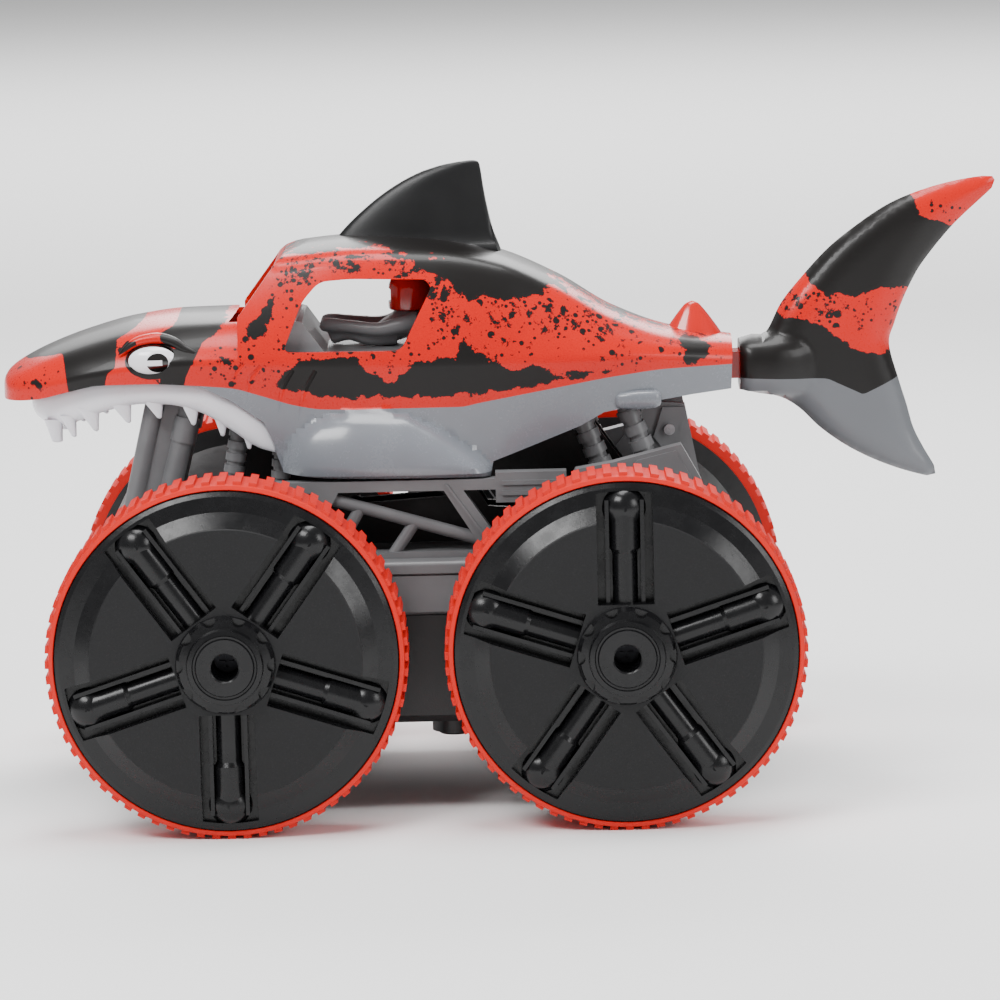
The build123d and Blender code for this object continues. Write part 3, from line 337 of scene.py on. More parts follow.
EYE_AT = (-83.5, 28.9, 140.3)
EYE_SIZE = (8.3, 4.2, 5.1)
PUPIL = (-81.9, 139.9, 3.4, 3.0)      # centre x and z, half-width, half-height
PUPIL_BAR = (0.85, 1.5)               # half-height, reach past the centre
EYE_RING = (8.7, 5.5, -0.1)           # half-width, half-height, shift up


def oval(graph, across, up, half_width, half_height):
    """Squared distance from an oval's centre, 1 on its edge."""
    u = graph.math("POWER", graph.math("ABSOLUTE", graph.math("DIVIDE", across, half_width)), 2.0)
    v = graph.math("POWER", graph.math("ABSOLUTE", graph.math("DIVIDE", up, half_height)), 2.0)
    return graph.plus(u, v)


def eye_gloss():
    """White lens with a dark rim and a black pupil that a white bar enters from the front."""
    graph = Graph("eye_gloss", (0.9, 0.9, 0.93), 0.12, coat=0.6)
    x, _, z = graph.axes()
    across = graph.minus(x, PUPIL[0])
    up = graph.minus(z, PUPIL[1])
    disc = graph.below(oval(graph, across, up, *PUPIL[2:]), 1.0)
    bar = graph.below(graph.math("ABSOLUTE", up), PUPIL_BAR[0])
    bar = graph.times(bar, graph.below(across, PUPIL_BAR[1]))
    pupil = graph.times(disc, graph.minus(1.0, bar))
    lens = oval(graph, graph.minus(x, EYE_AT[0]), graph.minus(z, EYE_AT[2]),
                EYE_SIZE[0] - 0.35, EYE_SIZE[2] - 0.35)
    rim = graph.above(lens, 0.90)
    cloud = graph.noise(5.0, 3.0)
    white = graph.mix(cloud, (0.80, 0.81, 0.86), (0.90, 0.90, 0.93))
    graph.colour(graph.mix(graph.larger(pupil, rim), white, INK))
    graph.roughness(graph.ramp(cloud, 0.3, 0.7, 0.09, 0.16))
    graph.bump(graph.noise(2.5, 3.0), 0.015)
    return graph.material


def metal(name, colour, roughness):
    graph = Graph(name, colour, roughness, metallic=1.0)
    scratch = graph.noise(0.5, 6.0, 0.7)
    graph.colour(graph.mix(scratch, shade(colour, 0.8), shade(colour, 1.15)))
    graph.roughness(graph.ramp(scratch, 0.3, 0.7, roughness - 0.08, roughness + 0.12))
    graph.bump(scratch, 0.02)
    return graph.material


# ------------ shape helpers
def curve_through(rows):
    """Smooth curve through rows of (position, values...) that never overshoots them."""
    table = np.array(rows, float)
    x, values = table[:, 0], table[:, 1:]
    slope = np.diff(values, axis=0) / np.diff(x)[:, None]
    before, after = slope[:-1], slope[1:]
    same = before * after > 0
    total = np.where(same, before + after, 1.0)
    tangent = np.zeros_like(values)
    tangent[1:-1] = np.where(same, 2 * before * after / total, 0.0)
    tangent[0], tangent[-1] = slope[0], slope[-1]

    def read(position):
        i = int(np.clip(np.searchsorted(x, position) - 1, 0, len(x) - 2))
        h = x[i + 1] - x[i]
        t = float(np.clip((position - x[i]) / h, 0.0, 1.0))
        row = (2 * t**3 - 3 * t**2 + 1) * values[i] + (3 * t**2 - 2 * t**3) * values[i + 1]
        return row + h * ((t**3 - 2 * t**2 + t) * tangent[i] + (t**3 - t**2) * tangent[i + 1])

    return read


def line_through(rows):
    """Smooth curve through rows of (position, value), read as one number."""
    read = curve_through(rows)
    return lambda position: float(read(position)[0])


def drawn(points, step=1.5):
    """Points of a smooth line through an open run of (x, z) points with rising x."""
    read = line_through(points)
    count = max(2, int((points[-1][0] - points[0][0]) / step))
    return [(x, read(x)) for x in np.linspace(points[0][0], points[-1][0], count)]


def rounded(points, radius, steps=5):
    """Closed outline with every corner rounded."""
    outline = []
    for i, corner in enumerate(points):
        corner = np.array(corner, float)
        neighbours = (points[i - 1], points[(i + 1) % len(points)])
        arms = [np.array(point, float) - corner for point in neighbours]
        lengths = [np.linalg.norm(arm) for arm in arms]
        reach = min(radius, 0.45 * min(lengths))
        start, end = (corner + arm / length * reach for arm, length in zip(arms, lengths))
        for t in np.linspace(0, 1, steps):
            point = (1 - t) ** 2 * start + 2 * t * (1 - t) * corner + t**2 * end
            outline.append((float(point[0]), float(point[1])))
    return outline


def turns_of(count):
    """Evenly spaced angles of a full turn."""
    return [2 * math.pi * j / count for j in range(count)]


def squared(value, power):
    """A sine or cosine pushed outward, which squares a round section."""
    return math.copysign(abs(value) ** power, value)


def mesh_object(name, points, faces):
    """Closed mesh from millimetre points, with clean faces turned outward."""
    mesh = bpy.data.meshes.new(name)
    mesh.from_pydata([at(*p) for p in points], [], faces)
    work = bmesh.new()
    work.from_mesh(mesh)
    bmesh.ops.remove_doubles(work, verts=work.verts, dist=0.00001)
    bmesh.ops.recalc_face_normals(work, faces=work.faces)
    work.to_mesh(mesh)
    work.free()
    obj = bpy.data.objects.new(name, mesh)
    bpy.context.scene.collection.objects.link(obj)
    return obj


def ring_faces(rings, count):
    """Faces of a tube through rings of points, with both ends closed."""
    faces = []
    for i in range(rings - 1):
        for j in range(count):
            k = (j + 1) % count
            faces.append((i * count + j, i * count + k, (i + 1) * count + k, (i + 1) * count + j))
    faces.append(tuple(range(count)))
    faces.append(tuple((rings - 1) * count + j for j in reversed(range(count))))
    return faces


def tube_object(name, rings):
    points = [p for ring in rings for p in ring]
    return mesh_object(name, points, ring_faces(len(rings), len(rings[0])))


def prism(name, outline, y_low, y_high):
    """Side-view outline between two y values."""
    rings = [[(x, y, z) for x, z in outline] for y in (y_low, y_high)]
    return tube_object(name, rings)


def pipe(name, path, radii, sides=12, squeeze=1.0):
    """Round bar along a path of points; squeeze flattens it sideways."""
    rings = []
    for i, point in enumerate(path):
        ahead = Vector(path[min(i + 1, len(path) - 1)]) - Vector(path[max(i - 1, 0)])
        turn = ahead.to_track_quat("Z", "Y")
        ring = []
        for angle in turns_of(sides):
            offset = turn @ Vector((radii[i] * math.cos(angle), radii[i] * math.sin(angle), 0))
            ring.append((point[0] + offset.x, point[1] + offset.y * squeeze, point[2] + offset.z))
        rings.append(ring)
    return tube_object(name, rings)


def smooth_pipe(name, points, radii, sides=12, squeeze=1.0, parts=4):
    """Round bar on a smooth curve through a few points, each with its radius."""
    rows = [(i, *p, r) for i, (p, r) in enumerate(zip(points, radii))]
    read = curve_through(rows)
    values = [read(i) for i in np.linspace(0, len(rows) - 1, (len(rows) - 1) * parts + 1)]
    path, sizes = [tuple(v[:3]) for v in values], [float(v[3]) for v in values]
    return pipe(name, path, sizes, sides, squeeze)


def baked(obj):
    """Puts the result of an object's modifiers into its mesh."""
    graph = bpy.context.evaluated_depsgraph_get()
    mesh = bpy.data.meshes.new_from_object(obj.evaluated_get(graph))
    obj.modifiers.clear()
    obj.data = mesh
    return obj


def combine(obj, tool, operation):
    """Boolean of two closed meshes: DIFFERENCE, UNION or INTERSECT."""
    modifier = obj.modifiers.new("combine", "BOOLEAN")
    modifier.operation = operation
    modifier.solver = "EXACT"
    modifier.object = tool
    bpy.context.view_layer.update()
    baked(obj)
    bpy.data.objects.remove(tool)
    return obj


def copy_of(obj, name):
    twin = bpy.data.objects.new(name, obj.data.copy())
    bpy.context.scene.collection.objects.link(twin)
    return twin


def finish_piece(obj, name, material, body, slot, *nodes, sharp=38):
    """Names a piece, gives it its finish and puts it in place of its CAD nodes."""
    obj.name = name
    obj.data.name = name
    obj.data.materials.clear()
    obj.data.materials.append(material)
    obj.data.shade_smooth()
    obj.data.set_sharp_from_angle(angle=math.radians(sharp))
    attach(obj, body)
    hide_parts(*nodes)
    return obj


def joined(name, *pieces):
    """One mesh object from several."""
    work = bmesh.new()
    for piece in pieces:
        work.from_mesh(piece.data)
        bpy.data.objects.remove(piece)
    mesh = bpy.data.meshes.new(name)
    work.to_mesh(mesh)
    work.free()
    obj = bpy.data.objects.new(name, mesh)
    bpy.context.scene.collection.objects.link(obj)
    return obj


# ------------ printed pattern
def gap_to(places, a, b):
    """Distance of (x, z) places to the straight line between two points."""
    run = b - a
    share = np.clip(((places - a) @ run) / max(run @ run, 1e-9), 0, 1)
    return np.linalg.norm(places - (a + share[:, None] * run), axis=1)


def depth_inside(places, outline):
    """Signed distance of (x, z) places to a closed outline, positive inside."""
    points = np.array(outline, float)
    nearest = np.full(len(places), 1e9)
    inside = np.zeros(len(places), bool)
    for a, b in zip(points, np.roll(points, -1, axis=0)):
        nearest = np.minimum(nearest, gap_to(places, a, b))
        crosses = (a[1] > places[:, 1]) != (b[1] > places[:, 1])
        rise = b[1] - a[1] if abs(b[1] - a[1]) > 1e-9 else 1e-9
        inside ^= crosses & (places[:, 0] < a[0] + (places[:, 1] - a[1]) / rise * (b[0] - a[0]))
    return np.where(inside, nearest, -nearest)


def places_of(obj):
    """Every vertex of a mesh as (x, z) in millimetres aft of mid-wheelbase and up."""
    co = np.zeros(len(obj.data.vertices) * 3, np.float32)
    obj.data.vertices.foreach_get("co", co)
    co = co.reshape(-1, 3).astype(float)
    return np.stack([(co[:, 0] - MID_X) / MM, co[:, 2] / MM], axis=1)


def store(obj, name, values):
    attribute = obj.data.attributes.new(name, "FLOAT", "POINT")
    attribute.data.foreach_set("value", np.asarray(values, np.float32))


def deepest(places, outlines):
    return np.max([depth_inside(places, outline) for outline in outlines], axis=0)


def clouds(places, spots):
    """Share of sprayed drops from (x, z, x reach, z reach, density) spots."""
    share = np.zeros(len(places))
    for x, z, reach_x, reach_z, density in spots:
        far = ((places[:, 0] - x) / reach_x) ** 2 + ((places[:, 1] - z) / reach_z) ** 2
        share = np.maximum(share, density * np.exp(-far))
    return share


BODY_INK = [
    # snout top and the band behind the nose tip
    [(-127, 138.8), (-113.4, 141.6), (-103, 143.8), (-95.5, 146.0), (-90, 149.2), (-86, 152), (-85, 162),
     (-136, 162)],
    [(-113, 143.5), (-111.3, 137.7), (-110, 128), (-99.5, 128), (-98, 136.4), (-95.2, 138.4), (-95, 147)],
    # brow front, and the stripe that rises behind the eye to the hood
    [(-95.4, 141.6), (-92, 146), (-88.6, 148.6), (-87.6, 146.6), (-91.5, 143.4)],
    [(-84.2, 128), (-75.2, 128), (-73, 136), (-69.6, 142), (-68, 145.4), (-64.5, 148.2), (-60.6, 151.6),
     (-61, 154), (-66, 160), (-74.5, 160), (-76.5, 151), (-81.5, 150.6), (-81, 146), (-76, 144)],
    [(-62.6, 141.4), (-61.8, 138.4), (-58.4, 138.6), (-58.6, 141.6)],
    # inner edge of the windscreen pillar
    [(-54.6, 146.6), (-50.8, 155), (-45.3, 159.4), (-46, 153.6), (-48.7, 146.6)],
    # roof and back
    [(-48, 176), (-43, 170.6), (-39.6, 172.4), (-35, 170.9), (-24, 170.2), (-7, 170.6), (0, 168.3), (3, 166),
     (9.8, 162), (14.7, 157), (19.3, 159), (27.4, 156.4), (37.7, 157.2), (41, 160.4), (60.5, 149.2),
     (77, 144.6), (104, 141.0), (104, 205), (-48, 205)],
    # lower flank
    [(-45.5, 131.3), (-42.9, 135.8), (-34.8, 140.1), (-20.7, 140.3), (-17.8, 136.2), (-8.9, 132.0),
     (-1.8, 137.9), (10.3, 139.6), (13.4, 144.6), (17.3, 140.5), (24.9, 136.2), (29, 134.7),
     (33.2, 136.7), (45.4, 133.4), (52.6, 134.2), (61.4, 133.6), (46, 131.2), (31, 129.2),
     (18.5, 128.0), (-1, 127.4), (-27, 127.8), (-37, 128.8)],
    # small patch near the rear end
    [(80.8, 141.6), (82.8, 138), (81.7, 135.2), (88.9, 135.4), (90, 138.8), (87, 142.4)],
]
BODY_RED = [
    # brush strokes on the head, and streaks along the roof edge
    [(-93, 145.6), (-88, 150.2), (-84, 156), (-79, 156), (-77, 150.4), (-81, 148.4)],
    [(-41, 169.0), (-34.2, 171.6), (-24, 172.8), (-15, 173.0), (-6, 171.5), (-24, 170.9), (-34, 170.4)],
    [(-3.6, 171.2), (3, 170.2), (8.5, 168.9), (3, 169.4)],
    [(40.5, 161.8), (52, 155.3), (62, 149.6), (62, 148), (48, 156.0)],
]
BODY_SPRAY = [
    (-36, 166.5, 9, 5, 0.85), (-22, 168, 12, 4, 0.95), (-4, 167, 10, 4.5, 0.95), (7, 160, 9, 10, 0.95),
    (10, 150, 9, 9, 0.75), (26, 152, 14, 6, 0.90), (42, 150, 15, 6, 0.90), (58, 145, 13, 5, 0.75),
    (-122, 133, 7, 5, 0.72), (-60, 139, 9, 5, 0.60), (-50, 137, 7, 6, 0.55), (84, 140, 10, 5, 0.60),
    (-44, 158, 5, 9, 0.60), (20, 144, 22, 6, 0.60), (-12, 140, 22, 4, 0.55), (-38, 142, 8, 5, 0.70),
    (60, 137, 14, 4, 0.55),
]


def eye_ring():
    """Outline of the black ring printed round the eye."""
    wide, high, shift = EYE_RING
    return [(EYE_AT[0] + wide * math.cos(t), EYE_AT[2] + shift + high * math.sin(t)) for t in turns_of(40)]


HEAD_END = -66.0


def print_body(obj):
    places = places_of(obj)
    ink = np.minimum(deepest(places, BODY_INK), -deepest(places, BODY_RED))
    ink = np.maximum(ink, deepest(places, [eye_ring()]))
    store(obj, "ink", ink)
    store(obj, "spray", clouds(places, BODY_SPRAY))
    # the stripes on the head have cleaner edges than the splashes on the flank
    store(obj, "torn", np.where(places[:, 0] < HEAD_END, 0.14, 1.0))


# ------------ body shells
# Cross-sections: aft position, half-width low, half-width at the waist, waist height,
# half-width and height of the shoulder crease, and the ridge height.
HEAD = [
    (-132.5, 3.0, 3.4, 130.4, 2.2, 131.9, 132.2),
    (-132.0, 7.0, 7.6, 130.6, 5.0, 133.0, 133.6),
    (-130.4, 12.2, 13.2, 131.0, 8.8, 134.4, 135.8),
    (-126.0, 17.0, 18.4, 131.6, 12.5, 136.6, 138.9),
    (-117.0, 22.0, 23.6, 133.0, 16.0, 140.6, 143.3),
    (-105.0, 26.5, 28.2, 136.0, 19.0, 144.6, 147.6),
    (-90.0, 29.5, 31.2, 138.5, 21.0, 148.2, 151.4),
    (-74.0, 31.0, 32.4, 140.0, 22.0, 150.2, 153.2),
    (-56.0, 31.5, 32.6, 140.0, 22.5, 150.6, 153.4),
    (-48.0, 31.5, 32.6, 140.0, 22.5, 150.6, 153.4),
]
CABIN = [
    (-62.0, 31.4, 32.6, 140.0, 22.0, 168.2, 171.0),
    (-42.0, 31.7, 32.8, 139.0, 23.2, 169.9, 173.6),
    (-20.0, 31.8, 32.8, 138.5, 24.0, 171.6, 175.4),
    (4.0, 31.6, 32.6, 138.0, 23.8, 170.6, 174.0),
    (24.0, 30.8, 31.8, 138.0, 22.6, 166.9, 169.8),
    (43.0, 28.6, 29.6, 138.0, 19.6, 158.0, 161.6),
    (60.0, 25.4, 26.4, 138.0, 17.0, 148.8, 151.2),
    (78.0, 20.2, 21.2, 137.0, 13.8, 142.8, 144.4),
    (99.0, 13.4, 14.0, 134.5, 9.5, 139.4, 141.0),
]
SHELL_BASE = 98.0
SKIN = 1.8
SEAM = [(-69.4, 132.4), (-59.1, 131.4), (-50.5, 129.0), (-39.4, 125.6), (-30.7, 124.2), (-19.8, 124.0),
        (11.5, 124.0), (17.7, 125.1), (41.6, 129.0), (60.6, 131.8), (77.3, 133.2), (104.0, 133.4)]
GUM = [(-140.0, 126.6), (-127.3, 127.2), (-120.6, 128.0), (-110.2, 130.7), (-100.3, 132.8), (-84.8, 133.2),
       (-69.4, 132.4)]
JAW_BACK = [(-59.3, 127.4), (-49.6, 120.6), (-46.2, 113.0), (-45.7, 110.4)]
BELLY = [(-43.8, 104.8), (-29.4, 103.6), (20.7, 102.8), (21.5, 106.6), (35.3, 111.7), (49.1, 116.8),
         (56.3, 120.6), (74.8, 123.5), (84.3, 124.6), (96.5, 125.6)]
WINDOW = [(-43.1, 142.1), (-36.9, 157.4), (-31.4, 163.4), (-21.7, 164.1), (1.6, 163.4), (3.4, 161.0),
          (-6.4, 141.8)]
GILLS = [((-55.2, 139.4), (-59.1, 130.8)), ((-49.9, 138.4), (-54.6, 128.9)),
         ((-40.0, 136.8), (-45.0, 123.6)), ((-33.0, 136.4), (-38.8, 121.0))]
FIN_TOP = line_through([(-44.0, 106.0), (-41.0, 114.0), (-36.0, 119.0), (-30.0, 121.8), (-22.0, 123.4),
                        (-8.0, 122.6), (0.0, 119.4), (8.7, 114.6), (16.0, 109.6), (20.6, 105.0)])
FIN_REACH = line_through([(-44.0, 0.0), (-41.0, 4.0), (-34.0, 8.0), (-22.0, 10.0), (-4.0, 10.6),
                          (10.0, 10.4), (18.0, 9.6), (20.6, 6.0)])
FIN_ENDS = (-44.0, 20.6)
FIN_FLOOR = 103.0


def fin_bulge(x, z):
    """How far the pectoral fin stands out from the body wall."""
    if not FIN_ENDS[0] < x < FIN_ENDS[1]:
        return 0.0
    top, reach = FIN_TOP(x), FIN_REACH(x)
    share = (z - FIN_FLOOR) / max(0.5, top - FIN_FLOOR)
    if share >= 1.0:
        return 0.0
    lip = min(1.0, 0.75 + max(0.0, z - FIN_FLOOR) / 6.0)
    return reach * lip * math.sqrt(max(0.0, 1.0 - max(0.0, share) ** 1.7))


def half_section(x, row, inset, base, fins):
    """Half outline from the wall's foot over the waist and the crease to the ridge."""
    low_w, waist_w, waist_z, crease_w, crease_z, ridge_z = row
    waist = np.array([waist_w - inset, waist_z])
    crease = np.array([crease_w - inset * 0.7, crease_z - inset * 0.9])
    ridge = ridge_z - inset
    foot = np.array([low_w - inset, base])
    swell = (waist + crease) / 2 + np.array([2.4, 1.2]) * min(1.0, waist_w / 20)
    points = []
    for t in np.linspace(0, 1, 26, endpoint=False):
        y, z = foot + (waist - foot) * t
        points.append((y + (fin_bulge(x, z) if fins else 0.0), z))
    for t in np.linspace(0, 1, 14, endpoint=False):
        points.append(tuple((1 - t) ** 2 * waist + 2 * t * (1 - t) * swell + t**2 * crease))
    for t in np.linspace(0, 1, 14):
        y = crease[0] * (1 - t)
        points.append((y, ridge - (ridge - crease[1]) * (1 - t) ** 2))
    line = np.array(points)
    for _ in range(3):
        line[27:-1] = 0.5 * line[27:-1] + 0.25 * (line[26:-2] + line[28:])
    return line


def hull_object(name, table, stations, inset, base, fins=False):
    """Closed hull through smooth cross-sections."""
    read = curve_through(table)
    rings = []
    for x in stations:
        half = half_section(x, read(x), inset, base, fins)
        right = [(x, y, z) for y, z in half]
        left = [(x, -y, z) for y, z in half[-2::-1]]
        rings.append(right + left)
    return tube_object(name, rings)


def nose_stations(shift):
    near = [-132.5 + shift, -132.3 + shift, -132.0 + shift, -131.4 + shift, -130.6 + shift]
    return near + list(np.arange(-129.4 + shift, -48.1, 1.5)) + [-48.0]


WINDSCREEN = [(-57.0, 152.8), (-46.8, 166.6), (-45.2, 168.9), (-43.0, 170.9), (-39.8, 172.6), (-35.0, 174.3)]


def cabin_object(name, inset, base, fins):
    hull = hull_object(name, CABIN, np.arange(-62.0, 99.1 + inset / 2, 1.4), inset, base, fins)
    front = [(x + 1.2 * inset, z - 0.5 * inset) for x, z in WINDSCREEN]
    outline = [*front, (-34, 190), (-90, 190), (-90, 80), (front[0][0], 80)]
    return combine(hull, prism("windscreen_cut", outline, -60, 60), "DIFFERENCE")


BROW = [(-94.0, 28.4, 141.8), (-91.4, 28.2, 144.2), (-87.2, 27.8, 146.3), (-82.0, 27.7, 146.9),
        (-77.2, 28.4, 145.8), (-73.6, 29.6, 143.8), (-70.2, 30.8, 142.6)]
BROW_R = [0.5, 1.2, 1.8, 1.95, 1.8, 1.3, 0.5]


def eye_lens(name, side, grow):
    rings = []
    cx, cy, cz = EYE_AT
    for i in range(1, 24):
        polar = math.pi * i / 24
        wide, high = (EYE_SIZE[k] + grow for k in (0, 2))
        y = side * (cy + (EYE_SIZE[1] + grow) * math.cos(polar))
        rings.append([
            (cx + wide * math.sin(polar) * math.cos(t), y, cz + high * math.sin(polar) * math.sin(t))
            for t in turns_of(36)
        ])
    return tube_object(name, rings)


WINDSCREEN_HALF = (25.0, 18.0)        # half-widths at the foot and at the roof


def windscreen_opening():
    """Tapered block along the sloped windscreen, narrower at the roof."""
    foot, rise, out = Vector((-56.6, 0, 153.2)), Vector((13.0, 0, 17.5)), Vector((-4.0, 0, 3.0))
    rings = []
    for share in (0.0, 0.3, 0.6, 0.86):
        middle = foot + rise * share
        half = WINDSCREEN_HALF[0] + (WINDSCREEN_HALF[1] - WINDSCREEN_HALF[0]) * share
        inner, outer = middle - out, middle + out
        corners = ((inner, -half), (inner, half), (outer, half), (outer, -half))
        rings.append([(edge.x, y, edge.z) for edge, y in corners])
    return tube_object("windscreen_opening", rings)


def make_shells():
    paint = body_paint("shell_paint")
    outer = hull_object("outer", HEAD, nose_stations(0.0), 0.0, SHELL_BASE)
    combine(outer, cabin_object("outer_cabin", 0.0, SHELL_BASE, True), "UNION")
    for side in SIDES.values():
        route = [(x, side * y, z) for x, y, z in BROW]
        combine(outer, smooth_pipe("brow", route, BROW_R), "UNION")
    inner = hull_object("inner", HEAD, nose_stations(SKIN), SKIN, SHELL_BASE - 2)
    combine(inner, cabin_object("inner_cabin", SKIN, SHELL_BASE - 2, False), "UNION")
    shell = copy_of(outer, "shell")
    combine(shell, copy_of(inner, "inner_tool"), "DIFFERENCE")

    # cuts that both halves share: gill slits and the sloped rear end
    for side in SIDES.values():
        for (x_a, z_a), (x_b, z_b) in GILLS:
            bowed = ((x_a + x_b) / 2 - 1.1, side * 33.6, (z_a + z_b) / 2 + 0.3)
            route = [(x_a, side * 33.0, z_a), bowed, (x_b, side * 33.0, z_b)]
            combine(shell, smooth_pipe("gill_cut", route, [0.7, 1.35, 0.7], 10, parts=5), "DIFFERENCE")
    rear = [(96.4, 90), (96.4, 120), (97.6, 145), (120, 145), (120, 90)]
    combine(shell, prism("rear_cut", rear, -40, 40), "DIFFERENCE")

    seam, gum = drawn(SEAM), drawn(GUM)
    upper = copy_of(shell, "upper")
    combine(upper, prism("upper_region", [*gum, *seam[1:], (110, 210), (-140, 210)], -70, 70), "INTERSECT")
    combine(upper, prism("window_cut", rounded(WINDOW, 2.6), -60, 60), "DIFFERENCE")
    hood = [(-61.5, 149.6), (-43.8, 167.0), (-38.0, 163.4), (-48.0, 146.0)]
    combine(upper, prism("hood_cut", hood, -21, 21), "DIFFERENCE")
    combine(upper, windscreen_opening(), "DIFFERENCE")
    for side in SIDES.values():
        combine(upper, eye_lens("socket", side, 0.12), "DIFFERENCE")
    finish_piece(upper, "body_upper_shell", paint, "chassis", "shell_red", "upper_shell", sharp=32)
    print_body(upper)

    belly = drawn(BELLY[:3]) + BELLY[3:]
    region = [*seam, (104, 126.0), *reversed(belly), *reversed(JAW_BACK)]
    combine(shell, prism("lower_region", region, -70, 70), "INTERSECT")
    bumps = [pelvic_bump(side) for side in SIDES.values()]
    lower = joined("lower", shell, *bumps)
    grey = MATERIALS["shell_grey"]
    finish_piece(lower, "body_lower_shell", grey, "chassis", "shell_grey", "lower_shell", sharp=32)

    eyes = eye_gloss()
    for name, side in SIDES.items():
        eye = combine(eye_lens("eye", side, 0.0), copy_of(inner, "inner_tool"), "DIFFERENCE")
        finish_piece(eye, f"eye_lens_{name}", eyes, "chassis", "eye_white", f"eye_{name}")
    bpy.data.objects.remove(inner)
    return outer


BUMP_Y, BUMP_Z = 24.0, 123.8
BUMP = ((60.0, 0.0), (60.5, 0.7), (61.6, 1.2), (67.0, 1.5), (72.6, 1.2), (73.7, 0.7), (74.2, 0.0))


def pelvic_bump(side):
    """Rounded block under the rear of the body."""
    rings = []
    for x, grow in BUMP:
        ring = []
        for turn in turns_of(20):
            y = squared(math.cos(turn), 0.5) * (2.2 + grow)
            z = squared(math.sin(turn), 0.5) * (1.5 + grow)
            ring.append((x, side * (BUMP_Y + y), BUMP_Z + (x - BUMP[0][0]) * 0.03 + z))
        rings.append(ring)
    return tube_object("pelvic_bump", rings)


# ------------ jaw and teeth
JAW_LINE = line_through([(-126, 119.4), (-120, 118.0), (-116.8, 118.3), (-107.9, 121.0), (-98.6, 124.2),
                         (-87.6, 126.2), (-79.9, 126.0), (-69.7, 123.5), (-60.1, 117.8), (-51.1, 111.9),
                         (-45.7, 110.4)])
GUM_LINE = line_through([*GUM, (-59.3, 127.4), (-49.6, 120.6), (-45.9, 111.0)])
# Teeth, front to back: where the base starts and ends, the tip, and the tip's height and width.
TEETH = [
    (-119.2, -113.4, -115.2, 113.4, 3.2),
    (-114.0, -108.8, -109.6, 115.4, 1.3),
    (-108.4, -101.2, -102.4, 117.4, 1.3),
    (-98.6, -91.0, -92.0, 120.2, 1.3),
    (-87.6, -80.8, -82.2, 121.6, 1.2),
    (-75.6, -69.0, -71.6, 119.4, 1.2),
    (-65.6, -60.2, -62.6, 115.8, 1.1),
    (-56.6, -52.6, -54.4, 111.6, 1.0),
]
JAW_TIP = -123.8
JAW_HALF = 30.2


def jaw_half_width(x):
    reach = max(0.0, x - JAW_TIP)
    return min(JAW_HALF, JAW_HALF * (1 - math.exp(-((reach / 11.0) ** 0.62))) + 0.02 * reach)


# Section of the jaw band: millimetres out from its line and share of its height.
JAW_SECTION = [(0.0, 1.0), (0.35, 0.76), (0.5, 0.48), (0.35, 0.22), (-0.3, 0.07), (-1.3, 0.0), (-3.2, 0.0),
               (-4.3, 0.08), (-4.9, 0.3), (-4.9, 1.0)]


def make_jaw():
    stations = [JAW_TIP, -123.6, -123.1, -122.4, -121.2, -119.6, *np.arange(-117.5, -45.6, 2.0), -45.7]
    right = [(x, jaw_half_width(x)) for x in stations]
    plan = [(x, -y) for x, y in reversed(right[1:])] + right
    rings = []
    for i, (x, y) in enumerate(plan):
        (x_a, y_a), (x_b, y_b) = plan[max(i - 1, 0)], plan[min(i + 1, len(plan) - 1)]
        out = Vector((y_b - y_a, -(x_b - x_a)))
        out.normalize()
        if out.x > 0.05 or out.y * y < -0.01:
            out.negate()
        low, high = JAW_LINE(x), GUM_LINE(x) + 0.6
        ends = 1.0 if 2 < i < len(plan) - 3 else 0.92
        ring = []
        for across, height in JAW_SECTION:
            lean = 3.4 * (max(0.0, 0.5 - height) / 0.5) ** 2 * max(0.0, -out.x)
            reach = (across - lean) * ends
            ring.append((x + out.x * reach, y + out.y * reach, low + (high - low) * height))
        rings.append(ring)
    jaw = tube_object("jaw_band", rings)
    smooth = jaw.modifiers.new("smooth", "SUBSURF")
    smooth.levels = smooth.render_levels = 1
    baked(jaw)
    teeth = []
    for base_a, base_b, tip_x, tip_z, tip_w in TEETH:
        middle = (base_a + base_b) / 2
        top_z = max(JAW_LINE(base_a), JAW_LINE(base_b)) + 1.6
        for side in SIDES.values():
            rings = []
            for level in (0.0, 0.25, 0.5, 0.7, 0.85, 0.94, 0.985, 1.0):
                end = 1 - 0.75 * max(0.0, (level - 0.94) / 0.06) ** 2
                x_a = base_a + (tip_x - tip_w / 2 - base_a) * level
                x_b = base_b + (tip_x + tip_w / 2 - base_b) * level**0.8
                wide, centre = (x_b - x_a) / 2 * end, (x_a + x_b) / 2
                deep = (1.9 - 1.0 * level) * end
                y = side * (jaw_half_width(middle + 1.2) - 2.6)
                z = top_z + (tip_z - top_z) * level
                rings.append([
                    (centre + squared(math.cos(t), 0.6) * wide, y + squared(math.sin(t), 0.6) * deep, z)
                    for t in turns_of(20)
                ])
            teeth.append(tube_object("tooth", rings))
    whole = joined("jaw_and_teeth", jaw, *teeth)
    finish_piece(whole, "jaw_with_teeth", MATERIALS["jaw_white"], "chassis", "jaw_white", "jaw", sharp=50)


# ------------ dorsal fin and rear cone
DORSAL = [
    # height, leading x, trailing x, half-thickness
    (162.0, -32.0, 27.5, 7.6),
    (170.0, -29.4, 25.2, 6.6),
    (176.0, -25.0, 23.0, 5.4),
    (184.0, -16.6, 21.2, 4.2),
    (190.0, -8.4, 20.2, 3.3),
    (194.5, 0.2, 19.6, 2.5),
    (196.6, 6.8, 19.2, 1.9),
    (197.6, 12.4, 18.6, 1.2),
    (197.95, 15.6, 17.4, 0.5),
]


ROOF_Z = 171.0


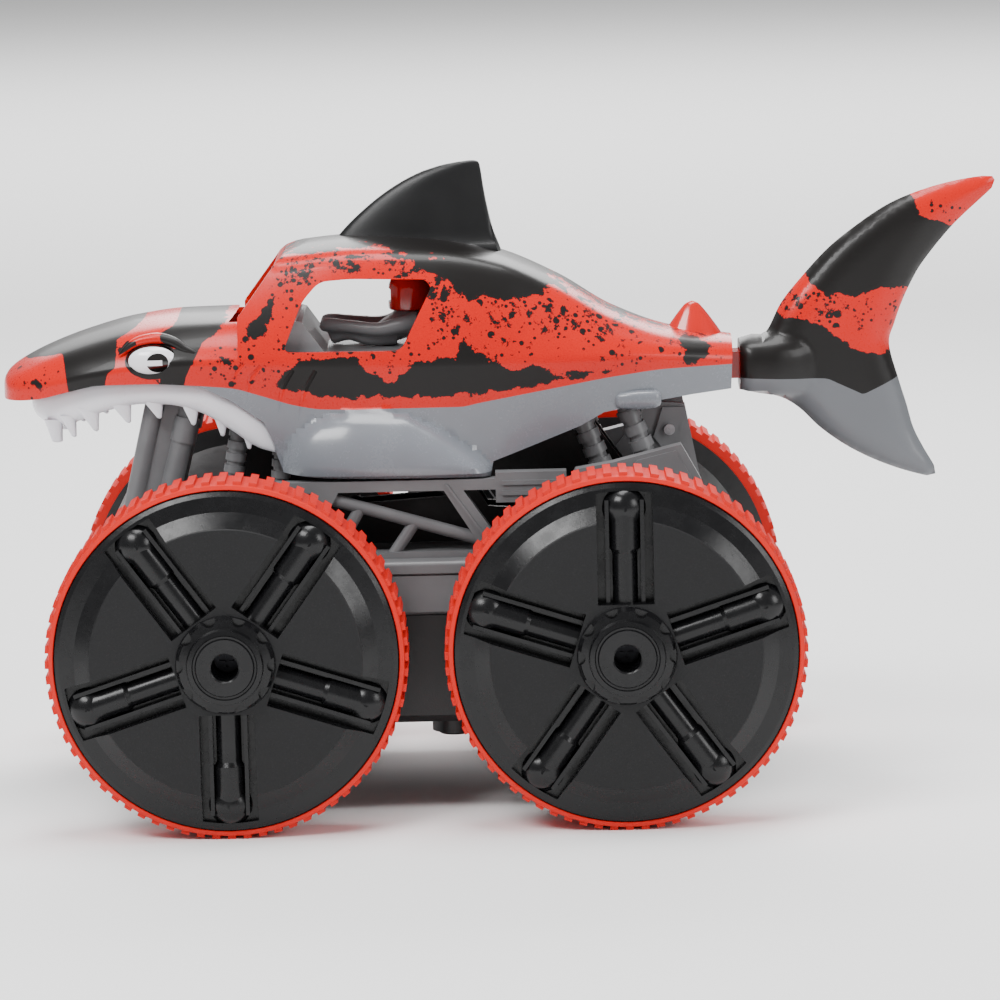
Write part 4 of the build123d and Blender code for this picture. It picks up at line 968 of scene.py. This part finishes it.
def make_dorsal(outer):
    read = curve_through(DORSAL)
    rings = []
    for z in [*np.arange(162.0, 196.0, 1.0), 196.4, 196.9, 197.3, 197.6, 197.8, 197.95]:
        lead, trail, half = read(z)
        skirt = 2.4 * math.exp(-max(0.0, z - ROOF_Z) / 2.2)
        ring = []
        for j in range(48):
            turn = 2 * math.pi * j / 48
            along = 0.5 - 0.5 * math.cos(turn)
            # along is 0 at the leading edge; the trailing edge ends in a thin flat face
            lens = (math.sqrt(max(0.0, along)) * 1.25 - 0.95 * along**1.6) * 1.35
            y = half * max(0.0, min(1.0, lens)) + skirt * along
            if along > 0.985:
                y = half * 0.38
            y = math.copysign(y, math.sin(turn)) if j else 0.0
            ring.append((lead + (trail - lead) * along, y, z))
        rings.append(ring)
    fin = tube_object("fin", rings)
    combine(fin, copy_of(outer, "roof_tool"), "DIFFERENCE")
    finish_piece(fin, "fin_on_roof", MATERIALS["fin_black"], "chassis", "fin_black", "dorsal_fin", sharp=50)


def make_cone(outer):
    profile = line_through([(0.0, 1.0), (0.25, 0.83), (0.5, 0.62), (0.7, 0.44), (0.85, 0.29), (0.93, 0.20),
                            (0.97, 0.13), (1.0, 0.01)])
    middle, foot, height, length, width = 85.3, 138.6, 13.4, 10.9, 7.0
    rings = []
    for t in [*np.linspace(0, 0.85, 16), 0.88, 0.91, 0.94, 0.96, 0.98, 0.99, 1.0]:
        share = profile(t)
        rings.append([
            (middle + length * share * math.cos(turn), width * share * math.sin(turn), foot + height * t)
            for turn in turns_of(40)
        ])
    cone = tube_object("cone", rings)
    combine(cone, copy_of(outer, "back_tool"), "DIFFERENCE")
    finish_piece(cone, "cone_on_back", MATERIALS["gloss_red"], "chassis", "gloss_red", "rear_cone", sharp=50)


# ------------ tail
TAIL_FRONT = 99.9
UPPER_LEAD = [(108.6, 141.7), (113.4, 150.6), (119.6, 158.3), (128.6, 167.8), (138.7, 175.6), (148.0, 181.4),
              (157.8, 185.3), (168.0, 188.0), (177.5, 189.4)]
UPPER_TRAIL = [(180.4, 185.6), (168.1, 174.3), (158.7, 163.1), (154.6, 156.4), (151.6, 150.0), (149.2, 143.4),
               (147.5, 136.7)]
LOWER_TRAIL = [(150.5, 125.2), (152.8, 117.6), (154.9, 110.0), (158.0, 103.6), (161.4, 97.6)]
LOWER_LEAD = [(159.1, 94.4), (149.4, 97.2), (140.1, 101.1), (132.0, 105.7), (125.0, 111.0), (119.6, 116.4),
              (114.8, 119.8), (110.4, 121.4), (106.1, 122.0)]
TONGUE_POCKET = ((TAIL_FRONT - 2, 109.0), 7.6, (127.1, 136.5))


def tail_outline():
    lead = [(TAIL_FRONT, 139.9), (104.0, 141.0), *UPPER_LEAD, (180.6, 189.2), (TAIL_X - 0.1, 188.0)]
    trail = [*UPPER_TRAIL, *LOWER_TRAIL, (161.8, 95.0)]
    outline = [*lead, *trail, *LOWER_LEAD, (TAIL_FRONT, 123.4)]
    smooth = []
    count = len(outline)
    for i in range(count - 1):
        around = [min(max(k, 0), count - 1) for k in (i - 1, i, i + 1, i + 2)]
        p0, p1, p2, p3 = (np.array(outline[k], float) for k in around)
        parts = max(1, int(np.linalg.norm(p2 - p1) / 1.3))
        sharp = parts < 3 or i == 0 or i == count - 2
        for j in range(parts):
            t = j / parts
            if sharp:
                point = p1 + (p2 - p1) * t
            else:
                point = 0.5 * ((2 * p1) + (p2 - p0) * t + (2 * p0 - 5 * p1 + 4 * p2 - p3) * t**2
                               + (3 * p1 - p0 - 3 * p2 + p3) * t**3)
            smooth.append((float(point[0]), float(point[1])))
    smooth.append(outline[-1])
    front = [(TAIL_FRONT, z) for z in np.linspace(123.4, 139.9, 14)[1:-1]]
    return smooth, front


TAIL_THICK = line_through([(99.0, 8.2), (112.0, 7.6), (124.0, 6.8), (140.0, 5.2), (160.0, 3.4),
                           (182.0, 1.7)])
NECK_THICK = line_through([(99.9, 9.4), (101.2, 11.0), (103.4, 11.9), (110.0, 11.9), (117.0, 10.2),
                           (123.0, 7.0), (129.0, 3.0), (133.0, 0.0)])
NECK_END = 133.0
NECK_Z, NECK_HALF = 131.0, 10.6       # middle height and half-height


def tail_depth(places, outline):
    """Half-thickness of the tail at (x, z) places: a lens-shaped fin and a boxy neck."""
    points = np.array(outline, float)
    edge = np.full(len(places), 1e9)
    for a, b in zip(points[:-1], points[1:]):
        edge = np.minimum(edge, gap_to(places, a, b))
    depth = np.zeros(len(places))
    for i, (x, z) in enumerate(places):
        rise = min(1.0, edge[i] / 10.0)
        fin = TAIL_THICK(x) * math.sqrt(1 - (1 - rise) ** 2.4)
        rim = min(1.0, edge[i] / 2.2)
        neck = 0.0
        if x < NECK_END:
            off = abs(z - NECK_Z) / NECK_HALF
            body = max(0.0, 1 - off**3.2) ** 0.45
            neck = NECK_THICK(x) * min(body, math.sqrt(1 - (1 - rim) ** 2) * 0.25 + 0.75)
            if edge[i] < 0.01:
                neck = 0.0
        depth[i] = max(fin, neck)
    return depth


def make_tail():
    outline, front = tail_outline()
    border = [Vector(p) for p in [*outline, *front]]
    loop = len(border)
    edges = [(i, (i + 1) % loop) for i in range(loop)]
    grid = np.array([
        (x + (0.35 if int(z) % 2 else 0.0), z)
        for x in np.arange(TAIL_FRONT + 0.7, TAIL_X, 1.5)
        for z in np.arange(94.0, 190.0, 1.5)
    ])
    keep = grid[depth_inside(grid, [*outline, *front]) > 0.8]
    places, _, faces, *_ = delaunay_2d_cdt(border + [Vector(p) for p in keep], edges, [], 1, 1e-4)
    flat = np.array([tuple(p) for p in places])
    depth = tail_depth(flat, outline)
    count = len(flat)
    rim = [i for i in range(count) if abs(flat[i][0] - TAIL_FRONT) < 1e-3]
    rim.sort(key=lambda i: flat[i][1])
    paint = body_paint("tail_paint", with_grey=True)
    for name, side in SIDES.items():
        points = [(x, side * d, z) for (x, z), d in zip(flat, depth)]
        points += [(x, 0.0, z) for x, z in flat]
        walls = [tuple(f) for f in faces] + [tuple(count + i for i in reversed(f)) for f in faces]
        walls += [(a, b, count + b, count + a) for a, b in zip(rim[:-1], rim[1:])]
        half = mesh_object("tail_half", points, walls)
        (x_a, x_b), reach, (z_a, z_b) = TONGUE_POCKET
        pocket = prism("pocket", [(x_a, z_a), (x_b, z_a), (x_b, z_b), (x_a, z_b)], -reach, reach)
        combine(half, pocket, "DIFFERENCE")
        finish_piece(half, f"tail_shell_{name}", paint, "tail", "tail_paint", f"tail_{name}", sharp=42)
        print_tail(half)


TAIL_RED = [
    [(155.0, 184.6), (156.0, 183.1), (157.0, 178.0), (160.1, 176.6), (164.2, 175.5), (172, 172), (190, 186),
     (190, 196), (150, 196)],
    [(119.6, 163), (121.8, 158.4), (125, 154.6), (131.6, 153.6), (136.8, 152.8), (144.1, 155.0), (158, 155.6),
     (147.0, 134.6), (139.7, 134.6), (136.6, 135.9), (130.4, 140.2), (125.2, 143.6), (119.0, 146.1),
     (113.6, 146.2), (112.2, 152)],
    [(99, 141.0), (104, 141.6), (108.6, 142.6), (113.4, 151.6), (109, 156), (99, 146)],
]
TAIL_GREY_LINE = [(90, 128.6), (100.1, 128.3), (127.4, 127.0), (138.8, 121.5), (150.5, 126.8), (170, 127),
                  (170, 80), (90, 80)]
TAIL_SPRAY = [(117, 149, 7, 6, 0.85), (128, 150, 10, 6, 0.75), (140, 150, 14, 8, 0.55),
              (164, 178, 10, 5, 0.35)]


def print_tail(obj):
    places = places_of(obj)
    store(obj, "ink", -deepest(places, TAIL_RED))
    store(obj, "spray", clouds(places, TAIL_SPRAY))
    store(obj, "torn", np.ones(len(places)) * 0.55)
    store(obj, "grey", depth_inside(places, TAIL_GREY_LINE))


# ------------ figure at the wheel
def melted(name, pieces, voxel, passes):
    """Overlapping closed pieces fused into one smooth skin."""
    obj = joined(name, *pieces)
    remesh = obj.modifiers.new("fuse", "REMESH")
    remesh.mode = "VOXEL"
    remesh.voxel_size = voxel * MM
    soften = obj.modifiers.new("soften", "SMOOTH")
    soften.iterations = passes
    soften.factor = 0.5
    bpy.context.view_layer.update()
    return baked(obj)


def make_driver():
    trunk = [
        ([(4.6, 0, 146.6), (1.0, 0, 147.6), (-4.0, 0, 147.6), (-9.0, 0, 145.6), (-14.0, 0, 143.8)],
         [3.0, 4.6, 5.0, 4.4, 3.0], 1.7),
        ([(-3.8, 0, 146.0), (-3.6, 0, 151.8)], [3.4, 2.8], 1.0),
    ]
    pieces = [smooth_pipe("torso", route, radii, 16, squeeze) for route, radii, squeeze in trunk]
    for side in SIDES.values():
        arm = [(-1.0, side * 8.2, 148.8), (-7.0, side * 9.6, 147.4), (-14.0, side * 9.4, 146.2),
               (-22.0, side * 8.0, 147.0), (-29.0, side * 6.6, 147.6), (-31.6, side * 5.6, 147.4)]
        pieces.append(smooth_pipe("arm", arm, [3.0, 2.7, 2.2, 2.1, 2.3, 1.9], 14))
        leg = [(-8.0, side * 5.0, 143.2), (-16.0, side * 5.6, 143.4), (-23.0, side * 5.0, 145.0),
               (-29.0, side * 4.6, 143.0)]
        pieces.append(smooth_pipe("leg", leg, [2.6, 2.8, 2.6, 2.0], 14))
    pieces.append(pipe("grip_bar", [(-31.4, -6.4, 147.2), (-31.4, 6.4, 147.2)], [1.1, 1.1]))
    driver = melted("driver_figure", pieces, 0.55, 6)
    grey = MATERIALS["figure_grey"]
    finish_piece(driver, "driver_figure", grey, "chassis", "shell_grey", "driver", sharp=60)


# Helmet's turned profile: radius and height.
HELMET = [(0.2, 151.4), (6.4, 151.4), (6.9, 151.8), (7.0, 152.6), (7.0, 157.4), (6.7, 159.4), (6.0, 161.3),
          (4.8, 162.9), (3.0, 164.0), (1.2, 164.35), (0.1, 164.4)]
HELMET_X = -3.6
VISOR = [(-12.0, 154.0), (-12.0, 158.2), (-9.8, 158.2), (-9.8, 154.0)]


def make_helmet():
    rings = [[(HELMET_X + r * math.cos(t), r * math.sin(t), z) for t in turns_of(48)] for r, z in HELMET]
    helmet = tube_object("helmet_shell", rings)
    combine(helmet, prism("visor_cut", rounded(VISOR, 0.5), -4.4, 4.4), "DIFFERENCE")
    finish_piece(helmet, "driver_helmet", MATERIALS["gloss_red"], "chassis", "gloss_red", "helmet", sharp=40)


# ------------ finishes, and the CAD nodes that wear them
MATERIALS = {
    "shell_grey": moulded("shell_grey", GREY, 0.26, 0.9, 0.02, 0.05, coat=0.25),
    "jaw_white": moulded("jaw_white", (0.80, 0.80, 0.85), 0.30, 0.9, 0.02, 0.03, coat=0.3),
    "fin_black": moulded("fin_black", SOFT_BLACK, 0.36, 0.35, 0.03, 0.15, 0.0, 0.35),
    "gloss_red": moulded("gloss_red", (0.58, 0.007, 0.003), 0.18, 1.2, 0.01, 0.06, coat=0.5),
    "figure_grey": moulded("figure_grey", (0.22, 0.222, 0.230), 0.34, 0.6, 0.03, 0.12),
    "frame_grey": moulded("frame_grey", FRAME_GREY, 0.36, 0.5, 0.05, 0.12),
    "hull_black": moulded("hull_black", SOFT_BLACK, 0.42, 0.5, 0.06, 0.2),
    "drum_black": moulded("drum_black", SOFT_BLACK, 0.38, 3.0, 0.12, 0.4),
    "gear_nylon": moulded("gear_nylon", (0.72, 0.70, 0.64), 0.35, 0.6, 0.02, 0.06),
    "bush_plastic": moulded("bush_plastic", (0.06, 0.06, 0.065), 0.3, 0.5, 0.03, 0.15),
    "battery_wrap": moulded("battery_wrap", (0.03, 0.10, 0.42), 0.3, 1.4, 0.04, 0.2),
    "board_green": moulded("board_green", (0.02, 0.18, 0.07), 0.3, 0.4, 0.05, 0.3),
    "steel": metal("steel", (0.50, 0.50, 0.52), 0.32),
    "dark_steel": metal("dark_steel", (0.045, 0.045, 0.050), 0.45),
    "motor_can": metal("motor_can", (0.60, 0.60, 0.62), 0.38),
    "tyre": tyre_rubber(),
    "wheel": wheel_plastic(),
}
# material of each CAD node, by the node's name or its ending
NODE_FINISH = {
    "tyre": ("tyre",),
    "wheel": ("wheel_disc",),
    "drum_black": ("wheel_drum",),
    "dark_steel": ("wheel_screw",),
    "steel": ("screws", "tail_pin"),
    "gear_nylon": ("gear", "pinion"),
    "motor_can": ("drive_motors",),
    "bush_plastic": ("axle_bushes",),
    "battery_wrap": ("battery_pack",),
    "board_green": ("circuit_board",),
    "hull_black": ("hull_tub", "battery_door", "power_button", "body_mount"),
    "frame_grey": ("deck_cover", "side_frame_left", "side_frame_right", "front_tower", "rear_tower",
                   "struts"),
    "figure_grey": ("cockpit_tub",),
    "gloss_red": ("tail_neck",),
}


def dress_nodes():
    for name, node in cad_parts.items():
        for finish, endings in NODE_FINISH.items():
            if name.endswith(endings):
                node.data.materials.clear()
                node.data.materials.append(MATERIALS[finish])


make_camera()
make_studio()
dress_nodes()
hull = make_shells()
make_jaw()
make_dorsal(hull)
make_cone(hull)
bpy.data.objects.remove(hull)
make_tail()
make_driver()
make_helmet()
